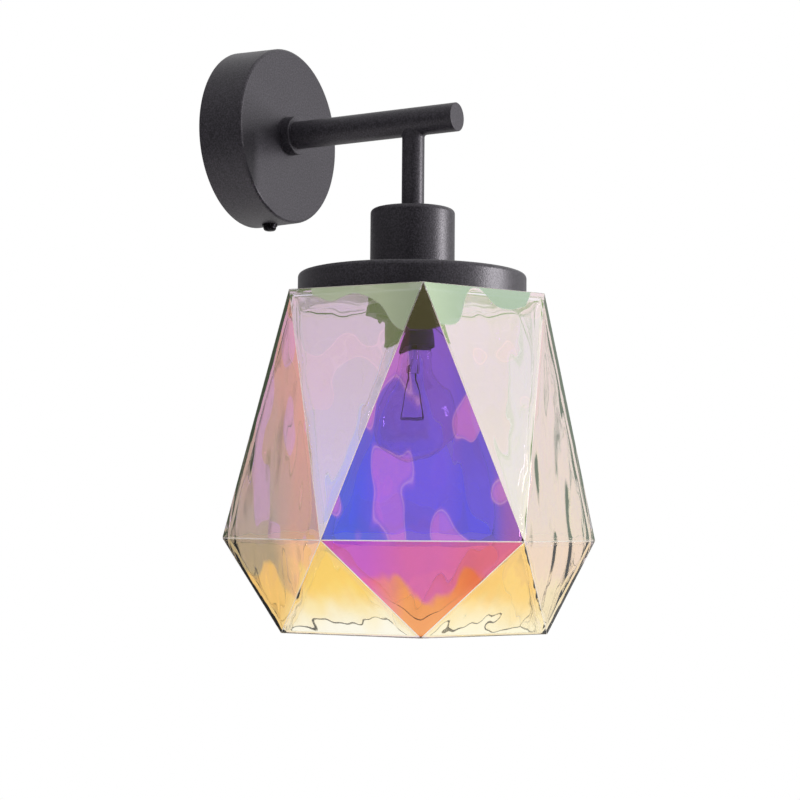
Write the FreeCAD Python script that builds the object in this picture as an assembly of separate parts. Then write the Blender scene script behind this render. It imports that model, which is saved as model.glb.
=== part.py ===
"""Wall sconce with one faceted glass shade hung from a straight arm.

Millimetres, +Z up. The origin is the centre of the wall face, where the bracket meets the wall.
The wall is the plane Y = 0 and the lamp stands out from it along -Y. The lamp axis is vertical.
Every solid is a separate piece of the lamp, written to parts/NODE.step.
"""
import FreeCAD, Part
import math
import os

V = FreeCAD.Vector
Y_AXIS, Z_AXIS = V(0, 1, 0), V(0, 0, 1)
OUT, DOWN = V(0, -1, 0), V(0, 0, -1)

# ---------------------------------------------------------------- driving sizes
SHEET = 1.2                 # drawn and spun steel sheet
FIT = 0.05                  # radial room in a thread or a push fit
GAP = 0.3                   # room between two pieces that turn or travel on each other
SEAM = 0.02                 # room between two round faces that are pressed together

CANOPY_DIAMETER = 122.0     # at the wall
CANOPY_DRAFT = 1.0          # how much less its radius is at the front
CANOPY_DEPTH = 33.0
CANOPY_EDGE_RADIUS = 2.0

BRACKET_WIDTH = 24.0
BRACKET_THICKNESS = 2.0
BRACKET_BEND_RADIUS = 2.8
BRACKET_TAB_DEPTH = 23.0    # how far each end tab stands out from the wall
BRACKET_TAB_ROOM = 0.3      # between a tab's corners and the canopy
WALL_SLOT_SPACING = 80.0
WALL_SLOT_WIDTH = 5.2
WALL_SLOT_LENGTH = 14.0
HOOK_PIN_DIAMETER = 4.0
HOOK_PIN_COLLAR_DIAMETER = 7.0
HOOK_PIN_COLLAR_HEIGHT = 1.2

SIDE_SCREW_FROM_WALL = 17.0
SIDE_SCREW_DIAMETER = 4.0
SIDE_SCREW_END = 4.0        # how far it passes the tab
SIDE_SCREW_HEAD_DIAMETER = 9.0
SIDE_SCREW_HEAD_HEIGHT = 3.2
SIDE_WASHER_DIAMETER = 10.6
SIDE_WASHER_THICKNESS = 1.2
SCREW_SLOT_WIDTH = 1.0
SCREW_SLOT_DEPTH = 1.4

TERMINAL_HEIGHT = 20.0      # of the block's centre above the arm's axis
TERMINAL_DEPTH = 9.5        # of the brass tubes' axes from the wall
TERMINAL_POLE_SPACING = 12.0
TERMINAL_BARREL_WIDTH = 8.0
TERMINAL_BLOCK_LENGTH = 17.0
TERMINAL_BASE = 4.0
TERMINAL_CHIMNEY_DIAMETER = 5.4
TERMINAL_CHIMNEY_HEIGHT = 7.0
TERMINAL_TUBE_DIAMETER = 5.0
TERMINAL_TUBE_BORE = 3.2
TERMINAL_TUBE_LENGTH = 14.0
TERMINAL_SCREW_DIAMETER = 2.6
TERMINAL_SCREW_LENGTH = 4.6
TERMINAL_SCREW_OFFSET = 4.4 # of each wire screw from the tube's middle
TERMINAL_SCREW_ROOM = 0.55
TERMINAL_FIXING_DIAMETER = 2.6
TERMINAL_FIXING_HEAD_DIAMETER = 3.6
TERMINAL_FIXING_HEAD_HEIGHT = 1.4

EARTH_DROP = 20.0           # of the earth screw below the arm's axis
EARTH_SCREW_DIAMETER = 4.0
EARTH_HEAD_DIAMETER = 7.6
EARTH_HEAD_HEIGHT = 2.4
EARTH_LUG_DIAMETER = 8.4
EARTH_LUG_THICKNESS = 0.8
EARTH_LUG_REACH = 6.5       # screw to the foot of the crimped barrel
EARTH_BARREL_LENGTH = 5.0
EARTH_WASHER_THICKNESS = 0.8

ARM_DIAMETER = 19.0
ARM_WALL = 1.2
LAMP_REACH = 131.0          # wall to the lamp axis
ARM_OVERHANG = 33.0         # lamp axis to the arm's free end
ARM_END_EDGE = 0.4
COLLAR_DIAMETER = 26.5
COLLAR_LENGTH = 7.0
COLLAR_EDGE = 0.8
STEM_DIAMETER = 15.0
STEM_WALL = 1.2
STEM_DROP = 59.0            # arm's axis to the cup's top
WELD_SIZE = 2.0
WIRE_HOLE_DIAMETER = 9.0
INSERT_LENGTH = 12.0

NIPPLE_DIAMETER = 10.0
NIPPLE_WALL = 1.3
NIPPLE_END = 3.0            # how far it passes its nut inside the canopy
NUT_ACROSS_FLATS = 14.0
NUT_THICKNESS = 4.0
NUT_CHAMFER = 0.5
LOCK_WASHER_DIAMETER = 16.0
LOCK_WASHER_THICKNESS = 1.0
LOCK_WASHER_TEETH = 12
LOCK_WASHER_NOTCH = 0.9

CUP_DIAMETER = 56.0
CUP_HEIGHT = 43.5
CUP_EDGE_RADIUS = 3.0
CAP_DIAMETER = 151.0
CAP_HEIGHT = 16.8
CAP_EDGE_RADIUS = 3.0

SHADE_TOP_RADIUS = 94.0     # centre to a corner of the six-sided top
SHADE_MIDDLE_RADIUS = 122.5
SHADE_BOTTOM_RADIUS = 96.5
SHADE_MIDDLE_DROP = 157.7   # from the shade's top to its widest ring of corners
SHADE_HEIGHT = 216.2
SHADE_WALL = 4.0
SHADE_HOLE_ROOM = 1.5       # between the lampholder's sleeve and the hole in the glass
SHADE_SIDES = 6
SHADE_TURN = 3.7            # how far the shade is turned from square to the arm, degrees

LAMP_THREAD_DIAMETER = 26.2 # crest of the bulb's screw cap
LAMP_THREAD_PITCH = 3.63
LAMP_THREAD_DEPTH = 0.8
LAMP_THREAD_ROOM = 0.35
SHELL_WALL = 0.4
SHELL_FLANGE_BORE = 14.0
SHELL_FLANGE_THICKNESS = 0.5
SHELL_COLLAR = 3.0          # plain length below the flange
SHELL_FROM_RIM = 6.0
HOLDER_SLEEVE_ROOM = 2.95   # between the brass shell and the sleeve
HOLDER_SLEEVE_WALL = 2.4
HOLDER_SLEEVE_LENGTH = 48.0 # below the top of the shade's cap
HOLDER_SHOULDER = 3.0
HOLDER_SHOULDER_WIDTH = 3.0
HOLDER_DOME_HEIGHT = 27.0
HOLDER_DOME_WALL = 2.2
HOLDER_DOME_DROP = 4.0      # how far the dome's roof slopes down to its side
HOLDER_NECK_LENGTH = 7.0
HOLDER_NECK_WALL = 3.0
HOLDER_THREAD_PITCH = 2.5
HOLDER_THREAD_DEPTH = 0.7
HOLDER_THREAD_LENGTH = 15.0
PUCK_RECESS = 1.0
PUCK_THICKNESS = 14.0
PUCK_EDGE = 0.8
CLAMP_REACH = 9.0           # lamp axis to a lead's clamp in the puck
CLAMP_OFFSET = 5.2          # lead to its clamping screw
CLAMP_ROOM = 0.4
CLAMP_HOLE_DEPTH = 7.0
CLAMP_SCREW_DIAMETER = 3.0
CLAMP_HEAD_DIAMETER = 5.4
CLAMP_HEAD_HEIGHT = 2.0
CONTACT_STRIP = 0.6
CONTACT_STRIP_WIDTH = 5.0
CONTACT_DROP = 3.2          # of the springy tongue below the puck
CONTACT_REACH = 5.0
CONTACT_RIVET_DIAMETER = 2.4
CONTACT_RIVET_LENGTH = 3.8
GASKET_THICKNESS = 1.5
GASKET_INSET = 1.0
SHADE_RING_WIDTH = 8.0
SHADE_RING_HEIGHT = 7.0
SHADE_RING_EDGE = 0.6
SHADE_RING_FLUTES = 24
FLUTE_RADIUS = 1.6
FLUTE_DEPTH = 0.9

BULB_DIAMETER = 60.0
BULB_WALL = 0.8
BULB_NECK_DIAMETER = 33.0
BULB_NECK_RISE = 41.3       # centre of the ball to the end of the neck's hollow curve
BULB_NECK_TAPER = 8.7       # from there up to the screw cap
BULB_CAP_LENGTH = 27.0      # with the insulator and the centre contact
BULB_CAP_SHEET = 0.3
BULB_CAP_SKIRT = 5.0        # plain length below the thread
BULB_CAP_SHOULDER = 2.0
BULB_NECK_ROOM = 0.3
BULB_NECK_IN_CAP = 6.0
BULB_CONTACT_DIAMETER = 9.2
BULB_CONTACT_HEIGHT = 1.8
BULB_CONTACT_STUD_LENGTH = 2.0
BULB_INSULATOR_HEIGHT = 3.4
BULB_INSULATOR_BORE = 6.4
MOUNT_TUBE_DIAMETER = 6.8
MOUNT_TUBE_WALL = 1.0
MOUNT_FLARE = 9.0
PINCH_DROP = 22.0           # from the cap's lower edge to the pinch's lower end
PINCH_LENGTH = 9.0
PINCH_WIDTH = 10.0
PINCH_THICKNESS = 3.2
LEAD_WIRE_DIAMETER = 0.8
LEAD_WIRE_SPACING = 6.8     # in the pinch
LEAD_WIRE_SPREAD = 26.0     # at the filament
LEAD_WIRE_GRIP = 5.5        # how far the pinch holds them
FILAMENT_BELOW_CENTRE = 3.0
FILAMENT_COILS = 24
FILAMENT_COIL_DIAMETER = 1.5
FILAMENT_WIRE = 0.24

LEAD_DIAMETER = 2.2
LEAD_SPACING = 3.0          # between the two lamp leads in the arm
LEAD_BEND_RADIUS = 7.0      # where they turn from the arm into the stem

# ---------------------------------------------------------------- places worked out from the sizes
CANOPY_RADIUS = CANOPY_DIAMETER / 2
CANOPY_FRONT_RADIUS = CANOPY_RADIUS - CANOPY_DRAFT
CANOPY_FRONT = -CANOPY_DEPTH
CANOPY_INNER_FRONT = CANOPY_FRONT + SHEET
SIDE_RADIUS = CANOPY_RADIUS - CANOPY_DRAFT * SIDE_SCREW_FROM_WALL / CANOPY_DEPTH
TAB_OUTER = math.sqrt((CANOPY_FRONT_RADIUS - SHEET - BRACKET_TAB_ROOM) ** 2 - (BRACKET_WIDTH / 2) ** 2)
TERMINAL_CENTRE = V(0, -TERMINAL_DEPTH, TERMINAL_HEIGHT)
TERMINAL_POLES = [-TERMINAL_POLE_SPACING, 0, TERMINAL_POLE_SPACING]
TERMINAL_FIXING_PLACES = [-TERMINAL_POLE_SPACING / 2, TERMINAL_POLE_SPACING / 2]
LUG_AXIS_DEPTH = BRACKET_THICKNESS + LEAD_DIAMETER / 2 + EARTH_LUG_THICKNESS
ARM_RADIUS = ARM_DIAMETER / 2
ARM_END = -(LAMP_REACH + ARM_OVERHANG)
STEM_RADIUS = STEM_DIAMETER / 2
NIPPLE_RADIUS = NIPPLE_DIAMETER / 2
NIPPLE_MOUTH = CANOPY_INNER_FRONT + LOCK_WASHER_THICKNESS + NUT_THICKNESS + NIPPLE_END
CUP_TOP = -STEM_DROP
CUP_RADIUS = CUP_DIAMETER / 2
STEM_NUT_TOP = CUP_TOP - SHEET - LOCK_WASHER_THICKNESS
CAP_TOP = CUP_TOP - CUP_HEIGHT
CAP_RADIUS = CAP_DIAMETER / 2
SHADE_TOP = CAP_TOP - CAP_HEIGHT
SHADE_MIDDLE = SHADE_TOP - SHADE_MIDDLE_DROP
SHADE_BOTTOM = SHADE_TOP - SHADE_HEIGHT
THREAD_CREST = LAMP_THREAD_DIAMETER / 2
THREAD_ROOT = THREAD_CREST - LAMP_THREAD_DEPTH
SHELL_INNER = THREAD_CREST + LAMP_THREAD_ROOM
SHELL_OUTER = SHELL_INNER + LAMP_THREAD_DEPTH + SHELL_WALL
SLEEVE_BORE_RADIUS = SHELL_OUTER + HOLDER_SLEEVE_ROOM
SLEEVE_RADIUS = SLEEVE_BORE_RADIUS + HOLDER_SLEEVE_WALL
HOLDER_BODY_RADIUS = SLEEVE_RADIUS + HOLDER_SHOULDER_WIDTH
HOLDER_NECK_RADIUS = NIPPLE_RADIUS + HOLDER_NECK_WALL
HOLDER_RIM = CAP_TOP - HOLDER_SLEEVE_LENGTH
SHOULDER_TOP = CAP_TOP + HOLDER_SHOULDER
DOME_TOP = SHOULDER_TOP + HOLDER_DOME_HEIGHT
PUCK_TOP = SHOULDER_TOP - PUCK_RECESS
PUCK_BOTTOM = PUCK_TOP - PUCK_THICKNESS
TONGUE_BOTTOM = PUCK_BOTTOM - CONTACT_DROP - CONTACT_STRIP
RING_TOP = SHADE_TOP - SHADE_WALL - GASKET_THICKNESS
RING_RADIUS = SLEEVE_RADIUS + SHADE_RING_WIDTH
BULB_RADIUS = BULB_DIAMETER / 2
BULB_CONTACT_TOP = TONGUE_BOTTOM - GAP
CAP_SKIRT = BULB_CONTACT_TOP - BULB_CAP_LENGTH
BULB_NECK_END = CAP_SKIRT - BULB_NECK_TAPER
BULB_CENTRE = BULB_NECK_END - BULB_NECK_RISE
NECK_INSIDE_CAP = THREAD_ROOT - BULB_CAP_SHEET - BULB_NECK_ROOM
BULB_NECK_TOP = CAP_SKIRT + BULB_NECK_IN_CAP
PINCH_BOTTOM = CAP_SKIRT - PINCH_DROP
FILAMENT_HEIGHT = BULB_CENTRE - FILAMENT_BELOW_CENTRE


def lamp_axis(z):
    """The point of the lamp axis at that height."""
    return V(0, -LAMP_REACH, z)


# ---------------------------------------------------------------- shared shapes
def rod(radius, start, direction, length):
    return Part.makeCylinder(radius, length, start, direction)


def pipe(outer, inner, start, direction, length):
    return rod(outer, start, direction, length).cut(rod(inner, start, direction, length))


def box(centre, width, depth, height):
    """A box about its centre, with its sizes along X, Y and Z."""
    return Part.makeBox(width, depth, height, centre - V(width / 2, depth / 2, height / 2))


def placed(shape, start, direction):
    """A shape drawn about +Z from the origin, moved to start and turned to the direction."""
    shape.Placement = FreeCAD.Placement(start, FreeCAD.Rotation(Z_AXIS, direction))
    return shape


def arc_at(corner, before, after, radius):
    """Where an arc of that radius starts, passes and ends, between a corner's two straight sides."""
    to_before = (before - corner).normalize()
    to_after = (after - corner).normalize()
    half = to_before.getAngle(to_after) / 2
    run = radius / math.tan(half)
    middle = corner + (to_before + to_after).normalize() * (radius / math.sin(half) - radius)
    return corner + to_before * run, middle, corner + to_after * run


def turned(outline, start, direction=Z_AXIS):
    """A solid turned about an axis. The outline is (radius, distance along the axis) points. A third
    number on a point rounds that corner to that radius."""
    points = [V(corner[0], 0, corner[1]) for corner in outline]
    bends = []
    for i, corner in enumerate(points):
        if len(outline[i]) > 2:
            bends.append(arc_at(corner, points[i - 1], points[(i + 1) % len(points)], outline[i][2]))
        else:
            bends.append((corner, None, corner))
    edges = []
    for i, (arrive, middle, leave) in enumerate(bends):
        if middle is not None:
            edges.append(Part.Arc(arrive, middle, leave).toShape())
        following = bends[(i + 1) % len(bends)][0]
        if leave.distanceToPoint(following) > 1e-7:
            edges.append(Part.LineSegment(leave, following).toShape())
    solid = Part.makeSolid(Part.Face(Part.Wire(edges)).revolve(V(0, 0, 0), Z_AXIS, 360))
    return placed(solid, start, direction)


def routed_wire(points, radii, diameter):
    """A round wire along straight runs joined by tangent arcs, one radius for each inner point."""
    edges, arrive = [], points[0]
    for before, corner, after, radius in zip(points, points[1:], points[2:], radii):
        start, middle, end = arc_at(corner, before, after, radius)
        edges.append(Part.LineSegment(arrive, start).toShape())
        edges.append(Part.Arc(start, middle, end).toShape())
        arrive = end
    edges.append(Part.LineSegment(arrive, points[-1]).toShape())
    spine = Part.Wire(edges)
    section = Part.Wire(Part.makeCircle(diameter / 2, points[0], points[1] - points[0]))
    wire = spine.makePipeShell([section], True, False)
    expected = math.pi * diameter ** 2 / 4 * spine.Length
    print(f"wire of {diameter} mm along {spine.Length:.1f} mm, bends of {radii} mm,"
          f" volume {wire.Volume / expected:.4f} of expected")
    return wire


def biarc(start, leaving, end, arriving):
    """Two tangent arcs from start to end that leave and arrive along the given unit directions."""
    chord = end - start
    both = leaving + arriving
    spread = 2 * (1 - leaving.dot(arriving))
    along = chord.dot(both)
    reach = (math.sqrt(along ** 2 + spread * chord.dot(chord)) - along) / spread
    meeting = (start + leaving * reach + end - arriving * reach) * 0.5
    corners = [start + leaving * reach, end - arriving * reach]
    arcs = []
    for first, last, corner in ((start, meeting, corners[0]), (meeting, end, corners[1])):
        middle = (first + last) * 0.5
        half_chord = first.distanceToPoint(middle)
        rise = corner - middle
        half_angle = math.atan2(rise.Length, half_chord)
        crown = middle + rise.normalize() * (half_chord * math.tan(half_angle / 2))
        arcs.append(Part.Arc(first, crown, last).toShape())
    return arcs


def slotted_screw(under_head, direction, diameter, length, head_diameter, head_height):
    """A screw whose shank runs from under_head along direction, its domed head the other way."""
    back = direction * -1
    shank = rod(diameter / 2, under_head, direction, length)
    head = turned([(0, 0), (head_diameter / 2, 0), (head_diameter / 2, head_height, head_height * 0.7),
                   (0, head_height)], under_head, back)
    slot = Part.makeBox(head_diameter, SCREW_SLOT_WIDTH, head_height,
                        V(-head_diameter / 2, -SCREW_SLOT_WIDTH / 2, head_height - SCREW_SLOT_DEPTH))
    return shank.fuse(head).removeSplitter().cut(placed(slot, under_head, back))


def toothed_washer(start, direction):
    """A lock washer for the hollow thread, with teeth round its rim."""
    rim = LOCK_WASHER_DIAMETER / 2
    washer = pipe(rim, NIPPLE_RADIUS + FIT, V(0, 0, 0), Z_AXIS, LOCK_WASHER_THICKNESS)
    notches = []
    for k in range(LOCK_WASHER_TEETH):
        angle = 2 * math.pi * k / LOCK_WASHER_TEETH
        place = V(rim * math.cos(angle), rim * math.sin(angle), 0)
        notches.append(rod(LOCK_WASHER_NOTCH, place, Z_AXIS, LOCK_WASHER_THICKNESS))
    return placed(washer.cut(notches), start, direction)


def hollow_nut(start, direction):
    """A thin hexagon nut on the hollow thread, its corners turned off."""
    corner = NUT_ACROSS_FLATS / 2 / math.cos(math.pi / 6)
    points = [V(corner * math.cos(k * math.pi / 3), corner * math.sin(k * math.pi / 3), 0) for k in range(7)]
    blank = Part.Face(Part.makePolygon(points)).extrude(V(0, 0, NUT_THICKNESS))
    faced = corner - 2 * NUT_CHAMFER
    chamfered = turned([(0, 0), (faced, 0), (corner, NUT_CHAMFER), (corner, NUT_THICKNESS - NUT_CHAMFER),
                        (faced, NUT_THICKNESS), (0, NUT_THICKNESS)], V(0, 0, 0))
    nut = blank.common(chamfered).cut(rod(NIPPLE_RADIUS + FIT, V(0, 0, 0), Z_AXIS, NUT_THICKNESS))
    return placed(nut, start, direction)


# ---------------------------------------------------------------- wall bracket and its fixings
def wall_slot(side):
    """The cutter of one upright slot with round ends."""
    centre = V(0, 0, side * WALL_SLOT_SPACING / 2)
    reach = (WALL_SLOT_LENGTH - WALL_SLOT_WIDTH) / 2
    depth = BRACKET_THICKNESS * 3
    ends = [rod(WALL_SLOT_WIDTH / 2, centre + V(0, depth / 2, end * reach), OUT, depth) for end in (1, -1)]
    return box(centre, WALL_SLOT_WIDTH, depth, reach * 2).fuse(ends)


def make_wall_bracket():
    """A steel strap against the wall, with a tab bent out at each end."""
    strap = box(V(0, -BRACKET_THICKNESS / 2, 0), BRACKET_WIDTH, BRACKET_THICKNESS, TAB_OUTER * 2)
    tabs = [box(V(0, -BRACKET_TAB_DEPTH / 2, side * (TAB_OUTER - BRACKET_THICKNESS / 2)),
                BRACKET_WIDTH, BRACKET_TAB_DEPTH, BRACKET_THICKNESS) for side in (1, -1)]
    strap = strap.fuse(tabs).removeSplitter()
    bends = [edge for edge in strap.Edges if abs(edge.CenterOfMass.y) < 1e-6
             and abs(abs(edge.CenterOfMass.z) - TAB_OUTER) < 1e-6]
    strap = strap.makeFillet(BRACKET_BEND_RADIUS, bends)
    through = BRACKET_THICKNESS + 2
    tab = V(0, -SIDE_SCREW_FROM_WALL, TAB_OUTER + 1)
    cuts = [wall_slot(side) for side in (1, -1)]
    cuts.append(rod(SIDE_SCREW_DIAMETER / 2 + FIT, V(0, tab.y, -tab.z), Z_AXIS, through))
    cuts.append(rod(HOOK_PIN_DIAMETER / 2 + FIT, tab, DOWN, through))
    cuts.append(rod(EARTH_SCREW_DIAMETER / 2 + FIT, V(0, 1, -EARTH_DROP), OUT, through))
    cuts += [rod(TERMINAL_FIXING_DIAMETER / 2 + FIT, V(x, 1, TERMINAL_HEIGHT), OUT, through)
             for x in TERMINAL_FIXING_PLACES]
    return strap.cut(cuts)


def make_hook_pin():
    """The pin riveted in the top tab. The canopy hangs on it by the hole in its top."""
    foot = V(0, -SIDE_SCREW_FROM_WALL, TAB_OUTER - BRACKET_THICKNESS)
    collar = rod(HOOK_PIN_COLLAR_DIAMETER / 2, foot, DOWN, HOOK_PIN_COLLAR_HEIGHT)
    shank = rod(HOOK_PIN_DIAMETER / 2, foot, Z_AXIS, SIDE_RADIUS - GAP - foot.z)
    return shank.fuse(collar).removeSplitter()


def make_terminal_block():
    """The three-pole nylon block: three barrels on a base, bored for the tubes and the screws."""
    back = -BRACKET_THICKNESS
    width = TERMINAL_POLE_SPACING * 2 + TERMINAL_BARREL_WIDTH
    barrel_radius = TERMINAL_BARREL_WIDTH / 2
    block = box(V(0, back - TERMINAL_BASE / 2, TERMINAL_HEIGHT), width, TERMINAL_BASE, TERMINAL_BLOCK_LENGTH)
    cuts = [rod(TERMINAL_FIXING_DIAMETER / 2 + FIT, V(x, back + 1, TERMINAL_HEIGHT), OUT, TERMINAL_BASE + 2)
            for x in TERMINAL_FIXING_PLACES]
    for x in TERMINAL_POLES:
        axis = TERMINAL_CENTRE + V(x, 0, 0)
        foot = box(V(x, (back - TERMINAL_DEPTH) / 2, TERMINAL_HEIGHT), TERMINAL_BARREL_WIDTH,
                   TERMINAL_DEPTH + back, TERMINAL_BLOCK_LENGTH)
        barrel = rod(barrel_radius, axis - V(0, 0, TERMINAL_BLOCK_LENGTH / 2), Z_AXIS, TERMINAL_BLOCK_LENGTH)
        block = block.fuse([foot, barrel])
        cuts.append(rod(TERMINAL_TUBE_DIAMETER / 2 + FIT, axis - V(0, 0, TERMINAL_BLOCK_LENGTH), Z_AXIS,
                        TERMINAL_BLOCK_LENGTH * 2))
        for end in (1, -1):
            screw = axis + V(0, 0, end * TERMINAL_SCREW_OFFSET)
            block = block.fuse(rod(TERMINAL_CHIMNEY_DIAMETER / 2, screw, OUT, TERMINAL_CHIMNEY_HEIGHT))
            cuts.append(rod(TERMINAL_SCREW_DIAMETER / 2 + TERMINAL_SCREW_ROOM, screw, OUT,
                            TERMINAL_CHIMNEY_HEIGHT + 1))
    return block.cut(cuts).removeSplitter()


def make_terminal_tubes():
    """The three brass tubes that join the wires."""
    tubes = []
    for x in TERMINAL_POLES:
        axis = TERMINAL_CENTRE + V(x, 0, 0)
        foot = axis - V(0, 0, TERMINAL_TUBE_LENGTH / 2)
        tube = pipe(TERMINAL_TUBE_DIAMETER / 2, TERMINAL_TUBE_BORE / 2, foot, Z_AXIS, TERMINAL_TUBE_LENGTH)
        holes = [rod(TERMINAL_SCREW_DIAMETER / 2 + FIT, axis + V(0, 0, end * TERMINAL_SCREW_OFFSET), OUT,
                     TERMINAL_TUBE_DIAMETER) for end in (1, -1)]
        tubes.append(tube.cut(holes))
    return Part.makeCompound(tubes)


def make_terminal_screws():
    """The six wire screws in the brass tubes."""
    screws = []
    for x in TERMINAL_POLES:
        for end in (1, -1):
            tip = TERMINAL_CENTRE + V(x, -TERMINAL_TUBE_BORE / 2, end * TERMINAL_SCREW_OFFSET)
            screw = rod(TERMINAL_SCREW_DIAMETER / 2, tip, OUT, TERMINAL_SCREW_LENGTH)
            slot = box(tip + OUT * TERMINAL_SCREW_LENGTH, TERMINAL_SCREW_DIAMETER * 2, SCREW_SLOT_DEPTH,
                       SCREW_SLOT_WIDTH / 2)
            screws.append(screw.cut(slot))
    return Part.makeCompound(screws)


def make_terminal_fixings():
    """The two thin screws between the poles that hold the block on the bracket."""
    face = -BRACKET_THICKNESS - TERMINAL_BASE
    return Part.makeCompound([
        slotted_screw(V(x, face, TERMINAL_HEIGHT), Y_AXIS, TERMINAL_FIXING_DIAMETER, -face - GAP,
                      TERMINAL_FIXING_HEAD_DIAMETER, TERMINAL_FIXING_HEAD_HEIGHT)
        for x in TERMINAL_FIXING_PLACES])


def make_earth_lug():
    """The ring terminal crimped on the earth lead."""
    screw = V(0, -BRACKET_THICKNESS, -EARTH_DROP)
    barrel_foot = V(0, -LUG_AXIS_DEPTH, -EARTH_DROP + EARTH_LUG_REACH)
    ring = rod(EARTH_LUG_DIAMETER / 2, screw, OUT, EARTH_LUG_THICKNESS)
    tongue = box(screw + V(0, -EARTH_LUG_THICKNESS / 2, EARTH_LUG_REACH / 2 + 0.5), EARTH_LUG_DIAMETER / 2,
                 EARTH_LUG_THICKNESS, EARTH_LUG_REACH + 1)
    barrel = rod(LEAD_DIAMETER / 2 + EARTH_LUG_THICKNESS, barrel_foot, Z_AXIS, EARTH_BARREL_LENGTH)
    lead_room = rod(LEAD_DIAMETER / 2 + FIT, barrel_foot, Z_AXIS, EARTH_BARREL_LENGTH)
    screw_hole = rod(EARTH_SCREW_DIAMETER / 2 + FIT, screw, OUT, EARTH_LUG_THICKNESS)
    return ring.fuse([tongue, barrel]).removeSplitter().cut([screw_hole, lead_room])


def make_earth_washer():
    start = V(0, -BRACKET_THICKNESS - EARTH_LUG_THICKNESS, -EARTH_DROP)
    return pipe(EARTH_HEAD_DIAMETER / 2, EARTH_SCREW_DIAMETER / 2 + FIT, start, OUT, EARTH_WASHER_THICKNESS)


def make_earth_screw():
    under_head = V(0, -BRACKET_THICKNESS - EARTH_LUG_THICKNESS - EARTH_WASHER_THICKNESS, -EARTH_DROP)
    return slotted_screw(under_head, Y_AXIS, EARTH_SCREW_DIAMETER, -under_head.y - GAP, EARTH_HEAD_DIAMETER,
                         EARTH_HEAD_HEIGHT)


# ---------------------------------------------------------------- canopy and its side screw
def canopy_outside():
    """The canopy without its hollow."""
    return turned([(0, 0), (CANOPY_RADIUS, 0), (CANOPY_FRONT_RADIUS, CANOPY_DEPTH, CANOPY_EDGE_RADIUS),
                   (0, CANOPY_DEPTH)], V(0, 0, 0), OUT)


def make_canopy():
    """The drawn steel cup that covers the bracket, open towards the wall."""
    hollow = turned([(0, 0), (CANOPY_RADIUS - SHEET, 0),
                     (CANOPY_FRONT_RADIUS - SHEET, CANOPY_DEPTH - SHEET, CANOPY_EDGE_RADIUS - SHEET / 2),
                     (0, CANOPY_DEPTH - SHEET)], V(0, 0, 0), OUT)
    arm_hole = rod(NIPPLE_RADIUS + FIT, V(0, CANOPY_FRONT - 1, 0), Y_AXIS, SHEET + 2)
    side_holes = rod(SIDE_SCREW_DIAMETER / 2 + GAP, V(0, -SIDE_SCREW_FROM_WALL, -CANOPY_DIAMETER), Z_AXIS,
                     CANOPY_DIAMETER * 2)
    return canopy_outside().cut([hollow, arm_hole, side_holes])


SIDE_UNDER_HEAD = V(0, -SIDE_SCREW_FROM_WALL, -SIDE_RADIUS - SIDE_WASHER_THICKNESS)


def make_canopy_screw():
    """The black domed screw under the canopy. It turns in the bracket's bottom tab."""
    length = -SIDE_UNDER_HEAD.z - TAB_OUTER + SIDE_SCREW_END
    return slotted_screw(SIDE_UNDER_HEAD, Z_AXIS, SIDE_SCREW_DIAMETER, length, SIDE_SCREW_HEAD_DIAMETER,
                         SIDE_SCREW_HEAD_HEIGHT)


def make_canopy_screw_washer():
    """The black washer under that screw, shaped to the canopy's curved side."""
    blank = pipe(SIDE_WASHER_DIAMETER / 2, SIDE_SCREW_DIAMETER / 2 + FIT, SIDE_UNDER_HEAD, Z_AXIS,
                 SIDE_WASHER_THICKNESS * 2)
    pressed = canopy_outside().fuse(rod(SIDE_RADIUS + SEAM, V(0, 0, 0), OUT, SIDE_SCREW_FROM_WALL))
    return blank.cut(pressed)


# ---------------------------------------------------------------- arm and stem
def make_arm_nipple():
    """The hollow threaded rod that holds the arm on the canopy and lets the leads through."""
    length = NIPPLE_MOUTH - CANOPY_FRONT + INSERT_LENGTH
    return pipe(NIPPLE_RADIUS, NIPPLE_RADIUS - NIPPLE_WALL, V(0, NIPPLE_MOUTH, 0), OUT, length)


def make_arm_lock_washer():
    return toothed_washer(V(0, CANOPY_INNER_FRONT, 0), Y_AXIS)


def make_arm_lock_nut():
    return hollow_nut(V(0, CANOPY_INNER_FRONT + LOCK_WASHER_THICKNESS, 0), Y_AXIS)


def make_arm_collar():
    """The ring round the foot of the arm, against the canopy."""
    inner = ARM_RADIUS + FIT
    outer = COLLAR_DIAMETER / 2
    return turned([(inner, 0), (outer, 0), (outer, COLLAR_LENGTH, COLLAR_EDGE), (inner, COLLAR_LENGTH)],
                  V(0, CANOPY_FRONT, 0), OUT)


def make_arm_insert():
    """The threaded plug pressed in the foot of the arm tube."""
    return pipe(ARM_RADIUS - ARM_WALL - FIT, NIPPLE_RADIUS + FIT, V(0, CANOPY_FRONT, 0), OUT, INSERT_LENGTH)


def make_arm_tube():
    """The horizontal tube. It has a hole below for the leads to pass into the stem."""
    length = CANOPY_FRONT - ARM_END - ARM_WALL
    tube = pipe(ARM_RADIUS, ARM_RADIUS - ARM_WALL, V(0, CANOPY_FRONT, 0), OUT, length)
    return tube.cut(rod(WIRE_HOLE_DIAMETER / 2, lamp_axis(0), DOWN, ARM_DIAMETER))


def make_arm_end_disc():
    """The flat disc welded in the arm's free end and ground flush."""
    return turned([(0, 0), (ARM_RADIUS, 0), (ARM_RADIUS, ARM_WALL, ARM_END_EDGE), (0, ARM_WALL)],
                  V(0, ARM_END + ARM_WALL, 0), OUT)


def make_drop_stem():
    """The vertical tube, its top cut to sit under the round arm."""
    tube = pipe(STEM_RADIUS, STEM_RADIUS - STEM_WALL, lamp_axis(0), DOWN, STEM_DROP)
    return tube.cut(rod(ARM_RADIUS + SEAM, V(0, 0, 0), OUT, -ARM_END))


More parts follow.
